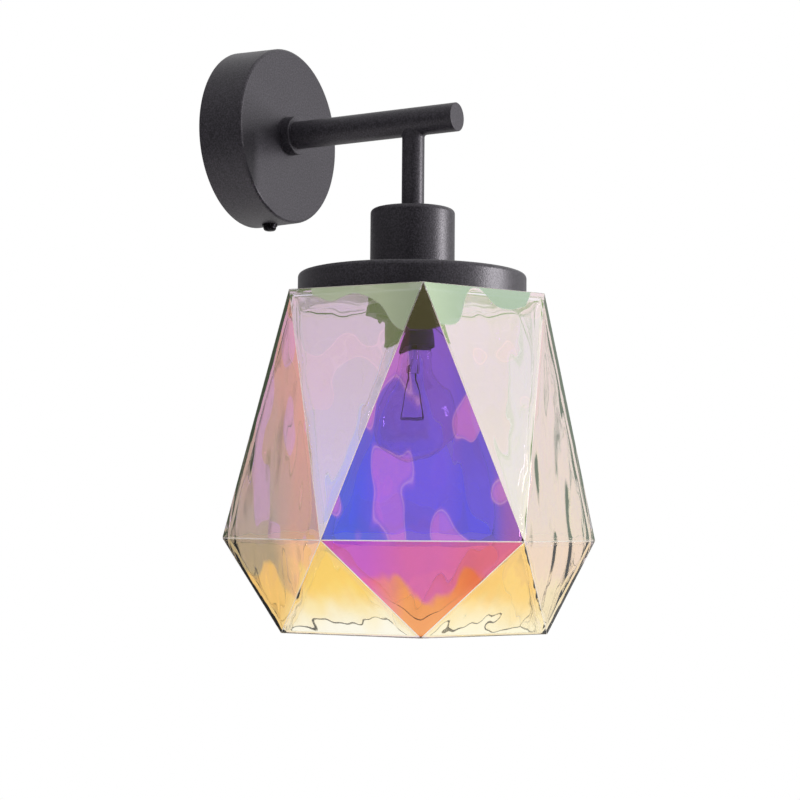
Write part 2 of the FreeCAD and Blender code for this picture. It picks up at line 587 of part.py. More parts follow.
def make_stem_weld():
    """The small bead all round the joint of stem and arm."""
    arm = rod(ARM_RADIUS, lamp_axis(0) - V(0, STEM_DIAMETER, 0), Y_AXIS, STEM_DIAMETER * 2)
    stem = rod(STEM_RADIUS, lamp_axis(0), DOWN, STEM_DROP)
    joined = arm.fuse(stem)
    seam = [edge for edge in joined.Edges
            if edge.BoundBox.ZMax < 0 and edge.BoundBox.ZMin > -ARM_DIAMETER
            and edge.BoundBox.XLength > STEM_RADIUS
            and abs(edge.BoundBox.Center.y + LAMP_REACH) < STEM_RADIUS]
    keep_out = [rod(ARM_RADIUS + SEAM, lamp_axis(0) - V(0, ARM_OVERHANG, 0), Y_AXIS, ARM_OVERHANG * 2),
                rod(STEM_RADIUS + SEAM, lamp_axis(0), DOWN, STEM_DROP)]
    size = min(WELD_SIZE, ARM_RADIUS - STEM_RADIUS)
    return joined.makeFillet(size, seam).cut(keep_out)


def make_stem_insert():
    """The threaded plug pressed in the bottom of the stem."""
    return pipe(STEM_RADIUS - STEM_WALL - FIT, NIPPLE_RADIUS + FIT, lamp_axis(CUP_TOP), Z_AXIS, INSERT_LENGTH)


def make_stem_nipple():
    """The hollow threaded rod from the stem down into the lampholder's neck."""
    top = CUP_TOP + INSERT_LENGTH
    length = top - DOME_TOP + HOLDER_NECK_LENGTH
    return pipe(NIPPLE_RADIUS, NIPPLE_RADIUS - NIPPLE_WALL, lamp_axis(top), DOWN, length)


def make_stem_lock_washer():
    return toothed_washer(lamp_axis(CUP_TOP - SHEET), DOWN)


def make_stem_lock_nut():
    return hollow_nut(lamp_axis(STEM_NUT_TOP), DOWN)


# ---------------------------------------------------------------- cup, cap and lampholder
def spun_lid(hole, radius, height, edge_radius, top):
    """A round sheet lid, open below, with a hole in its middle."""
    inner = radius - SHEET
    return turned([(hole, 0), (radius, 0, edge_radius), (radius, height), (inner, height),
                   (inner, SHEET, edge_radius - SHEET), (hole, SHEET)], lamp_axis(top), DOWN)


def make_socket_cup():
    """The drawn cup that hides the lampholder."""
    return spun_lid(NIPPLE_RADIUS + FIT, CUP_RADIUS, CUP_HEIGHT, CUP_EDGE_RADIUS, CUP_TOP)


def make_shade_cap():
    """The spun lid over the shade. The lampholder's sleeve passes through its middle."""
    return spun_lid(SLEEVE_RADIUS + GAP, CAP_RADIUS, CAP_HEIGHT, CAP_EDGE_RADIUS, CAP_TOP)


def make_lampholder_dome():
    """The upper half of the lampholder, with the threaded neck."""
    bore = NIPPLE_RADIUS + FIT
    inner = HOLDER_BODY_RADIUS - HOLDER_DOME_WALL
    roof = HOLDER_NECK_LENGTH
    side = roof + HOLDER_DOME_DROP
    return turned([(bore, 0), (HOLDER_NECK_RADIUS, 0, 0.6), (HOLDER_NECK_RADIUS, roof, 1.5),
                   (HOLDER_BODY_RADIUS, side, 4.0), (HOLDER_BODY_RADIUS, HOLDER_DOME_HEIGHT),
                   (inner, HOLDER_DOME_HEIGHT), (inner, side + HOLDER_DOME_WALL, 2.0),
                   (bore, roof + HOLDER_DOME_WALL)], lamp_axis(DOME_TOP), DOWN)


def make_lampholder_sleeve():
    """The lower half of the lampholder: a shoulder on the cap and a threaded sleeve below it."""
    root = SLEEVE_RADIUS - HOLDER_THREAD_DEPTH
    outline = [(SLEEVE_BORE_RADIUS, SHOULDER_TOP), (HOLDER_BODY_RADIUS, SHOULDER_TOP, 0.5),
               (HOLDER_BODY_RADIUS, CAP_TOP), (SLEEVE_RADIUS, CAP_TOP), (SLEEVE_RADIUS, SHADE_TOP),
               (root, SHADE_TOP)]
    for k in range(int(HOLDER_THREAD_LENGTH / HOLDER_THREAD_PITCH)):
        top = SHADE_TOP - k * HOLDER_THREAD_PITCH
        ridge = [(root, 0.1), (SLEEVE_RADIUS, 0.4), (SLEEVE_RADIUS, 0.6), (root, 0.9)]
        outline += [(radius, top - share * HOLDER_THREAD_PITCH) for radius, share in ridge]
    outline += [(root, HOLDER_RIM, 1.0), (SLEEVE_BORE_RADIUS, HOLDER_RIM)]
    return turned(outline, lamp_axis(0))


def make_lampholder_puck():
    """The ceramic puck that carries the contacts."""
    radius = SLEEVE_BORE_RADIUS - FIT
    puck = turned([(0, PUCK_BOTTOM), (radius, PUCK_BOTTOM, PUCK_EDGE), (radius, PUCK_TOP, PUCK_EDGE),
                   (0, PUCK_TOP)], lamp_axis(0))
    cuts = [rod(CONTACT_RIVET_DIAMETER / 2 + FIT, lamp_axis(PUCK_BOTTOM), Z_AXIS, CONTACT_RIVET_LENGTH)]
    for side in (1, -1):
        clamp = lamp_axis(PUCK_TOP) + V(side * CLAMP_REACH, 0, 0)
        cuts.append(rod(LEAD_DIAMETER / 2 + CLAMP_ROOM, clamp, DOWN, CLAMP_HOLE_DEPTH))
        cuts.append(rod(CLAMP_SCREW_DIAMETER / 2 + FIT, clamp + V(0, CLAMP_OFFSET, 0), DOWN, CLAMP_HOLE_DEPTH))
    return puck.cut(cuts)


def make_lampholder_clamps():
    """The two screws that clamp the leads in the puck."""
    return Part.makeCompound([
        slotted_screw(lamp_axis(PUCK_TOP) + V(side * CLAMP_REACH, CLAMP_OFFSET, 0), DOWN, CLAMP_SCREW_DIAMETER,
                      CLAMP_HOLE_DEPTH, CLAMP_HEAD_DIAMETER, CLAMP_HEAD_HEIGHT) for side in (1, -1)])


def make_lampholder_shell():
    """The rolled brass shell that the bulb screws into, held under the puck by its flange."""
    thread_top = PUCK_BOTTOM - SHELL_COLLAR
    turns = int((thread_top - HOLDER_RIM - SHELL_FROM_RIM) / LAMP_THREAD_PITCH)
    inside = []
    for k in range(turns):
        z = thread_top - k * LAMP_THREAD_PITCH
        inside += [(SHELL_INNER, z), (SHELL_INNER + LAMP_THREAD_DEPTH, z - LAMP_THREAD_PITCH / 2)]
    inside.append((SHELL_INNER, thread_top - turns * LAMP_THREAD_PITCH))
    outside = [(radius + SHELL_WALL, z) for radius, z in inside]
    flange = [(SHELL_INNER, PUCK_BOTTOM - SHELL_FLANGE_THICKNESS),
              (SHELL_FLANGE_BORE / 2, PUCK_BOTTOM - SHELL_FLANGE_THICKNESS),
              (SHELL_FLANGE_BORE / 2, PUCK_BOTTOM), (SHELL_INNER + SHELL_WALL, PUCK_BOTTOM)]
    return turned(outside + inside[::-1] + flange, lamp_axis(0))


def make_lampholder_contact():
    """The springy centre contact: a rivet in the puck and a tongue folded down to the bulb."""
    left, right = -CONTACT_REACH, CONTACT_REACH - CONTACT_STRIP
    fold, root = left + CONTACT_STRIP, CONTACT_RIVET_DIAMETER
    under_root, over_tongue = PUCK_BOTTOM - CONTACT_STRIP, TONGUE_BOTTOM + CONTACT_STRIP
    rivet = rod(CONTACT_RIVET_DIAMETER / 2, lamp_axis(PUCK_BOTTOM), Z_AXIS, CONTACT_RIVET_LENGTH)
    outline = [V(left, 0, PUCK_BOTTOM), V(root, 0, PUCK_BOTTOM), V(root, 0, under_root), V(fold, 0, under_root),
               V(fold, 0, over_tongue), V(right, 0, over_tongue), V(right, 0, TONGUE_BOTTOM),
               V(left, 0, TONGUE_BOTTOM)]
    strip = Part.Face(Part.makePolygon(outline + outline[:1])).extrude(V(0, CONTACT_STRIP_WIDTH, 0))
    strip.translate(V(0, -LAMP_REACH - CONTACT_STRIP_WIDTH / 2, 0))
    return strip.fuse(rivet).removeSplitter()


def make_ring_gasket():
    """The silicone washer between the glass and its ring."""
    return pipe(RING_RADIUS - GASKET_INSET, SLEEVE_RADIUS + GAP, lamp_axis(SHADE_TOP - SHADE_WALL), DOWN,
                GASKET_THICKNESS)


def make_shade_ring():
    """The fluted ring that is screwed up the sleeve and holds the shade to its cap."""
    inner = SLEEVE_RADIUS + FIT
    ring = turned([(inner, 0), (RING_RADIUS, 0, SHADE_RING_EDGE),
                   (RING_RADIUS, SHADE_RING_HEIGHT, SHADE_RING_EDGE), (inner, SHADE_RING_HEIGHT)],
                  lamp_axis(RING_TOP), DOWN)
    flutes = []
    reach = RING_RADIUS + FLUTE_RADIUS - FLUTE_DEPTH
    for k in range(SHADE_RING_FLUTES):
        angle = 2 * math.pi * k / SHADE_RING_FLUTES
        place = lamp_axis(RING_TOP) + V(reach * math.cos(angle), reach * math.sin(angle), 0)
        flutes.append(rod(FLUTE_RADIUS, place, DOWN, SHADE_RING_HEIGHT))
    return ring.cut(flutes)


# ---------------------------------------------------------------- glass shade
def ring_of_corners(radius, z, half_steps):
    """Six corners at one height. Each ring of the shade is turned half a side from the next one."""
    corners = []
    for k in range(SHADE_SIDES):
        angle = math.radians(-90 + SHADE_TURN + (k + half_steps / 2) * 360 / SHADE_SIDES)
        corners.append(lamp_axis(z) + V(radius * math.cos(angle), radius * math.sin(angle), 0))
    return corners


def faceted_body(inset, top, bottom):
    """A closed body of two flat ends and two bands of triangles, inset from the shade's outside."""
    flare = (SHADE_MIDDLE_RADIUS - SHADE_BOTTOM_RADIUS) / (SHADE_MIDDLE - SHADE_BOTTOM)
    bottom_radius = SHADE_BOTTOM_RADIUS - flare * (SHADE_BOTTOM - bottom)
    upper = ring_of_corners(SHADE_TOP_RADIUS - inset, top, 0)
    widest = ring_of_corners(SHADE_MIDDLE_RADIUS - inset, SHADE_MIDDLE, 1)
    lower = ring_of_corners(bottom_radius - inset, bottom, 0)
    rings = [upper, lower]
    for k in range(SHADE_SIDES):
        after = (k + 1) % SHADE_SIDES
        rings.append([upper[k], widest[k - 1], widest[k]])
        rings.append([upper[k], widest[k], upper[after]])
        rings.append([lower[k], widest[k], widest[k - 1]])
        rings.append([lower[k], lower[after], widest[k]])
    solid = Part.makeSolid(Part.makeShell([Part.Face(Part.makePolygon(ring + ring[:1])) for ring in rings]))
    if solid.Volume < 0:
        solid.reverse()
    return solid


def make_shade_glass():
    """The thick glass shade: open below, with a hole in its flat top for the lampholder."""
    corner_wall = SHADE_WALL / math.cos(math.pi / SHADE_SIDES)
    room = faceted_body(corner_wall, SHADE_TOP - SHADE_WALL, SHADE_BOTTOM - SHADE_WALL)
    hole = rod(SLEEVE_RADIUS + SHADE_HOLE_ROOM, lamp_axis(SHADE_TOP + 1), DOWN, SHADE_WALL + 2)
    return faceted_body(0, SHADE_TOP, SHADE_BOTTOM).cut([room, hole])


# ---------------------------------------------------------------- bulb
def bulb_body(wall):
    """The glass bulb's outside, or its inside when a wall is taken off: a ball, a hollow curve that
    leaves it smoothly and ends upright at the neck, and the neck drawn in to fit the screw cap."""
    ball = BULB_RADIUS - wall
    neck = BULB_NECK_DIAMETER / 2 - wall
    sweep = (neck ** 2 + BULB_NECK_RISE ** 2 - ball ** 2) / (2 * (ball - neck))
    sweep_centre = V(neck + sweep, 0, BULB_NECK_END)
    centre = V(0, 0, BULB_CENTRE)
    leave = math.atan2(BULB_NECK_RISE, neck + sweep)

    def on_ball(angle):
        return centre + V(math.cos(angle), 0, math.sin(angle)) * ball

    def on_sweep(angle):
        return sweep_centre - V(math.cos(angle), 0, math.sin(angle)) * sweep

    in_cap = NECK_INSIDE_CAP - wall
    tip = on_ball(-math.pi / 2)
    edges = [Part.Arc(tip, on_ball(-math.pi / 4), on_ball(0)).toShape(),
             Part.Arc(on_ball(0), on_ball(leave / 2), on_ball(leave)).toShape(),
             Part.Arc(on_ball(leave), on_sweep(leave / 2), on_sweep(0)).toShape()]
    corners = [on_sweep(0), V(in_cap, 0, CAP_SKIRT), V(in_cap, 0, BULB_NECK_TOP), V(0, 0, BULB_NECK_TOP), tip]
    edges += [Part.LineSegment(start, end).toShape() for start, end in zip(corners, corners[1:])]
    solid = Part.makeSolid(Part.Face(Part.Wire(edges)).revolve(V(0, 0, 0), Z_AXIS, 360))
    solid.translate(lamp_axis(0))
    return solid


def make_bulb_glass():
    return bulb_body(0).cut(bulb_body(BULB_WALL))


def make_bulb_cap():
    """The bulb's rolled screw cap, closed above by its shoulder."""
    top = BULB_CONTACT_TOP - BULB_CONTACT_HEIGHT - BULB_INSULATOR_HEIGHT
    turns = int((top - CAP_SKIRT - BULB_CAP_SKIRT) / LAMP_THREAD_PITCH)
    outside = [(THREAD_ROOT - BULB_CAP_SHOULDER, top)]
    for k in range(turns):
        z = top - 1 - k * LAMP_THREAD_PITCH
        outside += [(THREAD_ROOT, z), (THREAD_CREST, z - LAMP_THREAD_PITCH / 2)]
    outside += [(THREAD_ROOT, top - 1 - turns * LAMP_THREAD_PITCH), (THREAD_ROOT, CAP_SKIRT)]
    inside = [(radius - BULB_CAP_SHEET, z) for radius, z in outside[:0:-1]]
    lip = (THREAD_ROOT - BULB_CAP_SHOULDER - BULB_CAP_SHEET, top - BULB_CAP_SHEET)
    return turned(outside + inside + [lip], lamp_axis(0))


def make_bulb_insulator():
    """The black glass collar between the screw cap and the centre contact."""
    top = BULB_CONTACT_TOP - BULB_CONTACT_HEIGHT
    bottom = top - BULB_INSULATOR_HEIGHT + GAP
    foot = THREAD_ROOT - BULB_CAP_SHOULDER - GAP
    return turned([(BULB_INSULATOR_BORE / 2, top), (BULB_CONTACT_DIAMETER / 2, top, 0.3), (foot, bottom + GAP),
                   (foot, bottom), (BULB_INSULATOR_BORE / 2, bottom)], lamp_axis(0))


def make_bulb_contact():
    """The soldered tip, with its stud in the insulator."""
    base = BULB_CONTACT_TOP - BULB_CONTACT_HEIGHT
    stud = BULB_INSULATOR_BORE / 2 - FIT
    return turned([(0, base - BULB_CONTACT_STUD_LENGTH), (stud, base - BULB_CONTACT_STUD_LENGTH), (stud, base),
                   (BULB_CONTACT_DIAMETER / 2, base), (BULB_CONTACT_DIAMETER / 2, BULB_CONTACT_TOP, 1.2),
                   (0, BULB_CONTACT_TOP)], lamp_axis(0))


def make_bulb_mount():
    """The glass tube inside the neck, flared to the bulb above and pinched flat below."""
    flare = NECK_INSIDE_CAP - BULB_WALL - FIT
    tube = MOUNT_TUBE_DIAMETER / 2
    waist = PINCH_BOTTOM + PINCH_LENGTH
    funnel = turned([(flare - MOUNT_TUBE_WALL, BULB_NECK_TOP), (flare, BULB_NECK_TOP),
                     (flare, BULB_NECK_TOP - MOUNT_TUBE_WALL), (tube, BULB_NECK_TOP - MOUNT_FLARE, 3.0),
                     (tube, waist), (tube - MOUNT_TUBE_WALL, waist),
                     (tube - MOUNT_TUBE_WALL, BULB_NECK_TOP - MOUNT_FLARE + MOUNT_TUBE_WALL / 2, 3.0)],
                    lamp_axis(0))
    pinch = box(lamp_axis(waist - PINCH_LENGTH / 2), PINCH_WIDTH, PINCH_THICKNESS, PINCH_LENGTH)
    upright = [edge for edge in pinch.Edges if abs(edge.BoundBox.ZLength - PINCH_LENGTH) < 1e-6]
    pinch = pinch.makeFillet(PINCH_THICKNESS * 0.4, upright)
    wires = [rod(LEAD_WIRE_DIAMETER / 2 + SEAM, lamp_axis(PINCH_BOTTOM) + V(side * LEAD_WIRE_SPACING / 2, 0, 0),
                 Z_AXIS, LEAD_WIRE_GRIP) for side in (1, -1)]
    return funnel.fuse(pinch.cut(wires))


def make_bulb_lead_wires():
    """The two support wires from the pinch, spread apart to the ends of the filament."""
    wires = []
    for side in (1, -1):
        near, far = side * LEAD_WIRE_SPACING / 2, side * LEAD_WIRE_SPREAD / 2
        points = [lamp_axis(PINCH_BOTTOM + LEAD_WIRE_GRIP) + V(near, 0, 0),
                  lamp_axis(PINCH_BOTTOM - 4) + V(near, 0, 0),
                  lamp_axis((PINCH_BOTTOM + FILAMENT_HEIGHT) / 2) + V((near + far * 2) / 3, 0, 0),
                  lamp_axis(FILAMENT_HEIGHT) + V(far, 0, 0)]
        wires.append(routed_wire(points, [4.0, 12.0], LEAD_WIRE_DIAMETER))
    return Part.makeCompound(wires)


def make_filament():
    """The tungsten coil between the support wires, one unbroken wire with two biarcs to a turn."""
    length = LEAD_WIRE_SPREAD - LEAD_WIRE_DIAMETER - 2 * GAP
    coil = FILAMENT_COIL_DIAMETER / 2
    advance = length / (FILAMENT_COILS * 2 * math.pi)
    centre = lamp_axis(FILAMENT_HEIGHT)

    def point_at(turned_by):
        along = advance * turned_by - length / 2
        return centre + V(along, coil * math.cos(turned_by), coil * math.sin(turned_by))

    def heading_at(turned_by):
        return V(advance, -coil * math.sin(turned_by), coil * math.cos(turned_by)).normalize()

    edges = []
    for k in range(FILAMENT_COILS * 2):
        start, end = k * math.pi, (k + 1) * math.pi
        edges += biarc(point_at(start), heading_at(start), point_at(end), heading_at(end))
    spine = Part.Wire(edges)
    section = Part.Wire(Part.makeCircle(FILAMENT_WIRE / 2, point_at(0), heading_at(0)))
    filament = spine.makePipeShell([section], True, False)
    samples = [[edge.valueAt(edge.FirstParameter + (edge.LastParameter - edge.FirstParameter) * part / 6)
                for part in range(6)] for edge in edges]
    gap = min(near.distanceToPoint(far) for first, second in zip(samples, samples[3:])
              for near in first for far in second) - FILAMENT_WIRE
    expected = math.pi * FILAMENT_WIRE ** 2 / 4 * spine.Length
    print(f"filament: {FILAMENT_COILS} turns, least gap to itself {gap:.2f} mm,"
          f" volume {filament.Volume / expected:.4f} of expected")
    return filament


# ---------------------------------------------------------------- leads
def lamp_lead(side):
    """One lead from its pole of the terminal block, through the arm and stem, to the lampholder."""
    pole = TERMINAL_CENTRE + V(side * TERMINAL_POLE_SPACING, 0, 0)
    inside = side * LEAD_SPACING / 2
    clamp = side * CLAMP_REACH
    points = [pole - V(0, 0, 3.0), V(pole.x, pole.y, 4.0), V(side * 4.6, pole.y - 0.5, -1.0),
              V(inside, NIPPLE_MOUTH + 1.0, 0), V(inside, -LAMP_REACH, 0),
              V(inside, -LAMP_REACH, DOME_TOP - HOLDER_NECK_LENGTH - 3.0),
              V(clamp, -LAMP_REACH, PUCK_TOP + 8.0), V(clamp, -LAMP_REACH, PUCK_TOP - CLAMP_HOLE_DEPTH + 2.0)]
    return routed_wire(points, [3.5, 3.0, 3.5, LEAD_BEND_RADIUS, 5.0, 5.0], LEAD_DIAMETER)


def make_live_lead():
    return lamp_lead(-1)


def make_neutral_lead():
    return lamp_lead(1)


def make_earth_lead():
    """The short lead from the middle pole to the bracket's earth screw."""
    lug = V(0, -LUG_AXIS_DEPTH, -EARTH_DROP + EARTH_LUG_REACH + 0.5)
    points = [TERMINAL_CENTRE - V(0, 0, 3.0), TERMINAL_CENTRE - V(0, 0, 17.0), lug + V(0, 0, 10.0), lug]
    return routed_wire(points, [10.0, 8.0], LEAD_DIAMETER)


# ---------------------------------------------------------------- write every piece
PIECES = {
    "wall_bracket": make_wall_bracket,
    "hook_pin": make_hook_pin,
    "terminal_block": make_terminal_block,
    "terminal_tubes": make_terminal_tubes,
    "terminal_screws": make_terminal_screws,
    "terminal_fixings": make_terminal_fixings,
    "earth_lug": make_earth_lug,
    "earth_washer": make_earth_washer,
    "earth_screw": make_earth_screw,
    "canopy": make_canopy,
    "canopy_screw": make_canopy_screw,
    "canopy_screw_washer": make_canopy_screw_washer,
    "arm_nipple": make_arm_nipple,
    "arm_lock_washer": make_arm_lock_washer,
    "arm_lock_nut": make_arm_lock_nut,
    "arm_collar": make_arm_collar,
    "arm_insert": make_arm_insert,
    "arm_tube": make_arm_tube,
    "arm_end_disc": make_arm_end_disc,
    "drop_stem": make_drop_stem,
    "stem_weld": make_stem_weld,
    "stem_insert": make_stem_insert,
    "stem_nipple": make_stem_nipple,
    "stem_lock_washer": make_stem_lock_washer,
    "stem_lock_nut": make_stem_lock_nut,
    "socket_cup": make_socket_cup,
    "shade_cap": make_shade_cap,
    "lampholder_dome": make_lampholder_dome,
    "lampholder_sleeve": make_lampholder_sleeve,
    "lampholder_puck": make_lampholder_puck,
    "lampholder_clamps": make_lampholder_clamps,
    "lampholder_shell": make_lampholder_shell,
    "lampholder_contact": make_lampholder_contact,
    "ring_gasket": make_ring_gasket,
    "shade_ring": make_shade_ring,
    "shade_glass": make_shade_glass,
    "bulb_glass": make_bulb_glass,
    "bulb_cap": make_bulb_cap,
    "bulb_insulator": make_bulb_insulator,
    "bulb_contact": make_bulb_contact,
    "bulb_mount": make_bulb_mount,
    "bulb_lead_wires": make_bulb_lead_wires,
    "filament": make_filament,
    "live_lead": make_live_lead,
    "neutral_lead": make_neutral_lead,
    "earth_lead": make_earth_lead,
}

os.makedirs("parts", exist_ok=True)
for name, make in PIECES.items():
    shape = make()
    if not shape.isValid() or not shape.Solids:
        raise ValueError(f"{name} isn't a valid solid")
    print(f"{name}: {len(shape.Solids)} solid(s), {shape.Volume / 1000:.3f} cm3")
    shape.exportStep(f"parts/{name}.step")
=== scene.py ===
import math

import bmesh
import bpy
from mathutils import Matrix, Vector, noise


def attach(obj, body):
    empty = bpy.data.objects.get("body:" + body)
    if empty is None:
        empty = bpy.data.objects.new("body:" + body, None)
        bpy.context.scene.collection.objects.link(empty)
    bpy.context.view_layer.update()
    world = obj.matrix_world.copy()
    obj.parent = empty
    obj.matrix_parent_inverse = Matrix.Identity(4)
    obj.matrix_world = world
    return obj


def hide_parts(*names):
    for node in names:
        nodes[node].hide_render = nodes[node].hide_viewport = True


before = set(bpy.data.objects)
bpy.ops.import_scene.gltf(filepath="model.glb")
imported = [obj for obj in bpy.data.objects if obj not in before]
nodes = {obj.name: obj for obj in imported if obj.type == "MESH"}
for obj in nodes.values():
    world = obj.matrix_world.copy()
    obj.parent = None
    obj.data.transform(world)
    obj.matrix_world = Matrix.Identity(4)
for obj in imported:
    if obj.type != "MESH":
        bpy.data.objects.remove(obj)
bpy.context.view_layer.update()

# ---------------------------------------------------------------- canopy, arm, stem, cup and cap
# Drawn and spun mild steel: a round canopy on the wall, a straight tube with a flat welded end, a
# drop tube under it, the deep cup that hides the lampholder and the flat cap on the glass.
# All are sprayed with one fine-textured black powder and baked, after welding.

MM = 0.001  # the scene is in metres
GRIT_SIZE, GRIT_HEIGHT = 1.1, 0.2  # as drawn
RUBBED_SIZE = 30.0  # of the areas that are a little glossier than others


def linear(colour):
    """A hex colour as the eye sees it, turned to the linear values that a shader takes."""
    channels = [int(colour[k : k + 2], 16) / 255 for k in (1, 3, 5)]
    return [c / 12.92 if c <= 0.04045 else ((c + 0.055) / 1.055) ** 2.4 for c in channels] + [1.0]


def add(tree, kind, inputs=None, stops=(), **settings):
    """Adds a node with its settings. An input that is given a node or an output is linked to it."""
    made = tree.nodes.new(kind)
    if stops:
        ramp = made.color_ramp.elements
        for spot, colour in stops[1:-1]:
            ramp.new(spot).color = linear(colour)
        for end in (0, -1):
            ramp[end].position = stops[end][0]
            ramp[end].color = linear(stops[end][1])
    for name, value in settings.items():
        setattr(made, name, value)
    for name, value in (inputs or {}).items():
        if isinstance(name, int):
            socket = made.inputs[name]
        else:
            socket = next(s for s in made.inputs if s.enabled and s.name == name)
        if isinstance(value, bpy.types.Node):
            value = next(s for s in value.outputs if s.enabled)
        if isinstance(value, bpy.types.NodeSocket):
            tree.links.new(value, socket)
        else:
            socket.default_value = value
    return made


def new_finish(name):
    """A new material with no nodes yet, and its tree."""
    made = bpy.data.materials.new(name)
    made.use_nodes = True
    made.node_tree.nodes.clear()
    return made, made.node_tree


def wear(finish, *names):
    """Puts a finish on CAD nodes, in place of the plain one that each came with."""
    for name in names:
        if not nodes[name].material_slots:
            nodes[name].data.materials.append(finish)
        for held in nodes[name].material_slots:
            held.material = finish


# Polyester powder, baked: matte, near black, with a fine sandy grain that catches light as specks.
# The real grit is about 0.3 mm. It is drawn at 1.1 mm so that it shows from a step away.
powder_coat, tree = new_finish("Powder-coated steel, fine texture black")
place = add(tree, "ShaderNodeTexCoord").outputs["Object"]
grit = {"Vector": place, "Scale": 1 / (GRIT_SIZE * MM), "Detail": 2.0, "Roughness": 0.7}
grit = add(tree, "ShaderNodeTexNoise", grit)
speck = add(tree, "ShaderNodeMapRange", {"Value": grit, "From Min": 0.4, "From Max": 0.66})
black = {"Factor": speck, "A": linear("#19181c"), "B": linear("#3d3a41")}
black = add(tree, "ShaderNodeMix", black, data_type="RGBA")
rubbed = {"Vector": place, "Scale": 1 / (RUBBED_SIZE * MM), "Detail": 2.0}
rubbed = add(tree, "ShaderNodeTexNoise", rubbed)
gloss = add(tree, "ShaderNodeMapRange", {"Value": rubbed, "To Min": 0.34, "To Max": 0.44})
bump = {"Height": grit, "Strength": 0.8, "Distance": GRIT_HEIGHT * MM}
bump = add(tree, "ShaderNodeBump", bump)
coat = {"Base Color": black, "Roughness": gloss, "Normal": bump, "IOR": 1.5}
coat["Specular Tint"] = linear("#f3ecf6")
add(tree, "ShaderNodeOutputMaterial", {"Surface": add(tree, "ShaderNodeBsdfPrincipled", coat)})
wear(powder_coat, "canopy", "arm_collar", "arm_tube", "arm_end_disc", "drop_stem", "stem_weld")
wear(powder_coat, "socket_cup", "shade_cap")

# ---------------------------------------------------------------- bracket, threads and screws
# Pressed steel bracket with its hook pin, hollow threaded rods, nuts and toothed washers, zinc
# plated against rust, and the one black side screw that holds the canopy on the bracket's tab.
# Screws and nuts hold them: only the side screw's head and washer show from outside.


def metal(name, tones, roughness, size_mm, relief_mm):
    """A metal in two tones, dull and bright. It is rougher in its dull spots, as handling leaves it:
    they are size_mm across and relief_mm deep, and roughness is the least and the most."""
    finish, tree = new_finish(name)
    place = add(tree, "ShaderNodeTexCoord").outputs["Object"]
    spots = {"Vector": place, "Scale": 1 / (size_mm * MM), "Detail": 4.0, "Roughness": 0.6}
    spots = add(tree, "ShaderNodeTexNoise", spots)
    tone = {"Factor": spots, "A": linear(tones[0]), "B": linear(tones[1])}
    tone = add(tree, "ShaderNodeMix", tone, data_type="RGBA")
    gloss = {"Value": spots, "To Min": roughness[1], "To Max": roughness[0]}
    gloss = add(tree, "ShaderNodeMapRange", gloss)
    bump = add(tree, "ShaderNodeBump", {"Height": spots, "Strength": 0.3, "Distance": relief_mm * MM})
    skin = {"Base Color": tone, "Metallic": 1.0, "Roughness": gloss, "Normal": bump}
    add(tree, "ShaderNodeOutputMaterial", {"Surface": add(tree, "ShaderNodeBsdfPrincipled", skin)})
    return finish


# Bright zinc plate with clear passivation: a cool grey, faintly clouded sheen.
zinc = metal(
    "Zinc-plated steel, clear passivated", ("#9ba1a8", "#c9ced3"),
    roughness=(0.28, 0.45), size_mm=6.0, relief_mm=0.02,
)
wear(zinc, "wall_bracket", "hook_pin", "arm_nipple", "arm_lock_washer", "arm_lock_nut", "arm_insert")
wear(zinc, "stem_insert", "stem_nipple", "stem_lock_washer", "stem_lock_nut")
wear(zinc, "earth_lug", "earth_washer", "terminal_fixings")

# Oiled black oxide on steel: darker and glossier than the powder, so the head shows as a dark dot.
black_oxide = metal(
    "Steel screw, oiled black oxide", ("#131215", "#2a282c"),
    roughness=(0.3, 0.42), size_mm=2.0, relief_mm=0.02,
)
wear(black_oxide, "canopy_screw", "canopy_screw_washer")

# ---------------------------------------------------------------- terminal block and leads
# A three-pole nylon block with brass tubes and wire screws takes the house wiring behind the
# canopy. Two leads run from it through the arm and stem, and one to the bracket's earth screw.
# The leads are copper in soft PVC, cut to length and clamped at both ends.

SKIN_GRAIN = 0.02  # height of the faint grain that a mould or die leaves


def moulded(name, tones, roughness, size_mm, ior):
    """A plastic, rubber or ceramic, clouded between two close tones in spots of size_mm."""
    finish, tree = new_finish(name)
    place = add(tree, "ShaderNodeTexCoord").outputs["Object"]
    cloud = {"Vector": place, "Scale": 1 / (size_mm * MM), "Detail": 3.0}
    cloud = add(tree, "ShaderNodeTexNoise", cloud)
    tone = {"Factor": cloud, "A": linear(tones[0]), "B": linear(tones[1])}
    tone = add(tree, "ShaderNodeMix", tone, data_type="RGBA")
    bump = {"Height": cloud, "Strength": 0.3, "Distance": SKIN_GRAIN * MM}
    bump = add(tree, "ShaderNodeBump", bump)
    skin = {"Base Color": tone, "Roughness": roughness, "IOR": ior, "Normal": bump}
    add(tree, "ShaderNodeOutputMaterial", {"Surface": add(tree, "ShaderNodeBsdfPrincipled", skin)})
    return finish


# Turned brass, gone slightly brown: warm yellow with a satin turned face.
brass = metal(
    "Turned brass, lightly tarnished", ("#b08d4a", "#d8b96c"),
    roughness=(0.24, 0.4), size_mm=4.0, relief_mm=0.01,
)
wear(brass, "terminal_tubes", "terminal_screws", "earth_screw")
# Natural nylon, moulded: milky and waxy.
nylon = moulded(
    "Natural nylon, moulded", ("#e4dfd0", "#efebe0"), roughness=0.45, size_mm=8.0, ior=1.53
)
wear(nylon, "terminal_block")
# Flexible PVC in the wiring colours: soft, smooth and slightly glossy.
for lead, name, tones in (
    ("live_lead", "Brown PVC sleeve, extruded", ("#5a3520", "#66402a")),
    ("neutral_lead", "Blue PVC sleeve, extruded", ("#2f5fa8", "#3a6cb6")),
):
    wear(moulded(name, tones, roughness=0.4, size_mm=5.0, ior=1.53), lead)

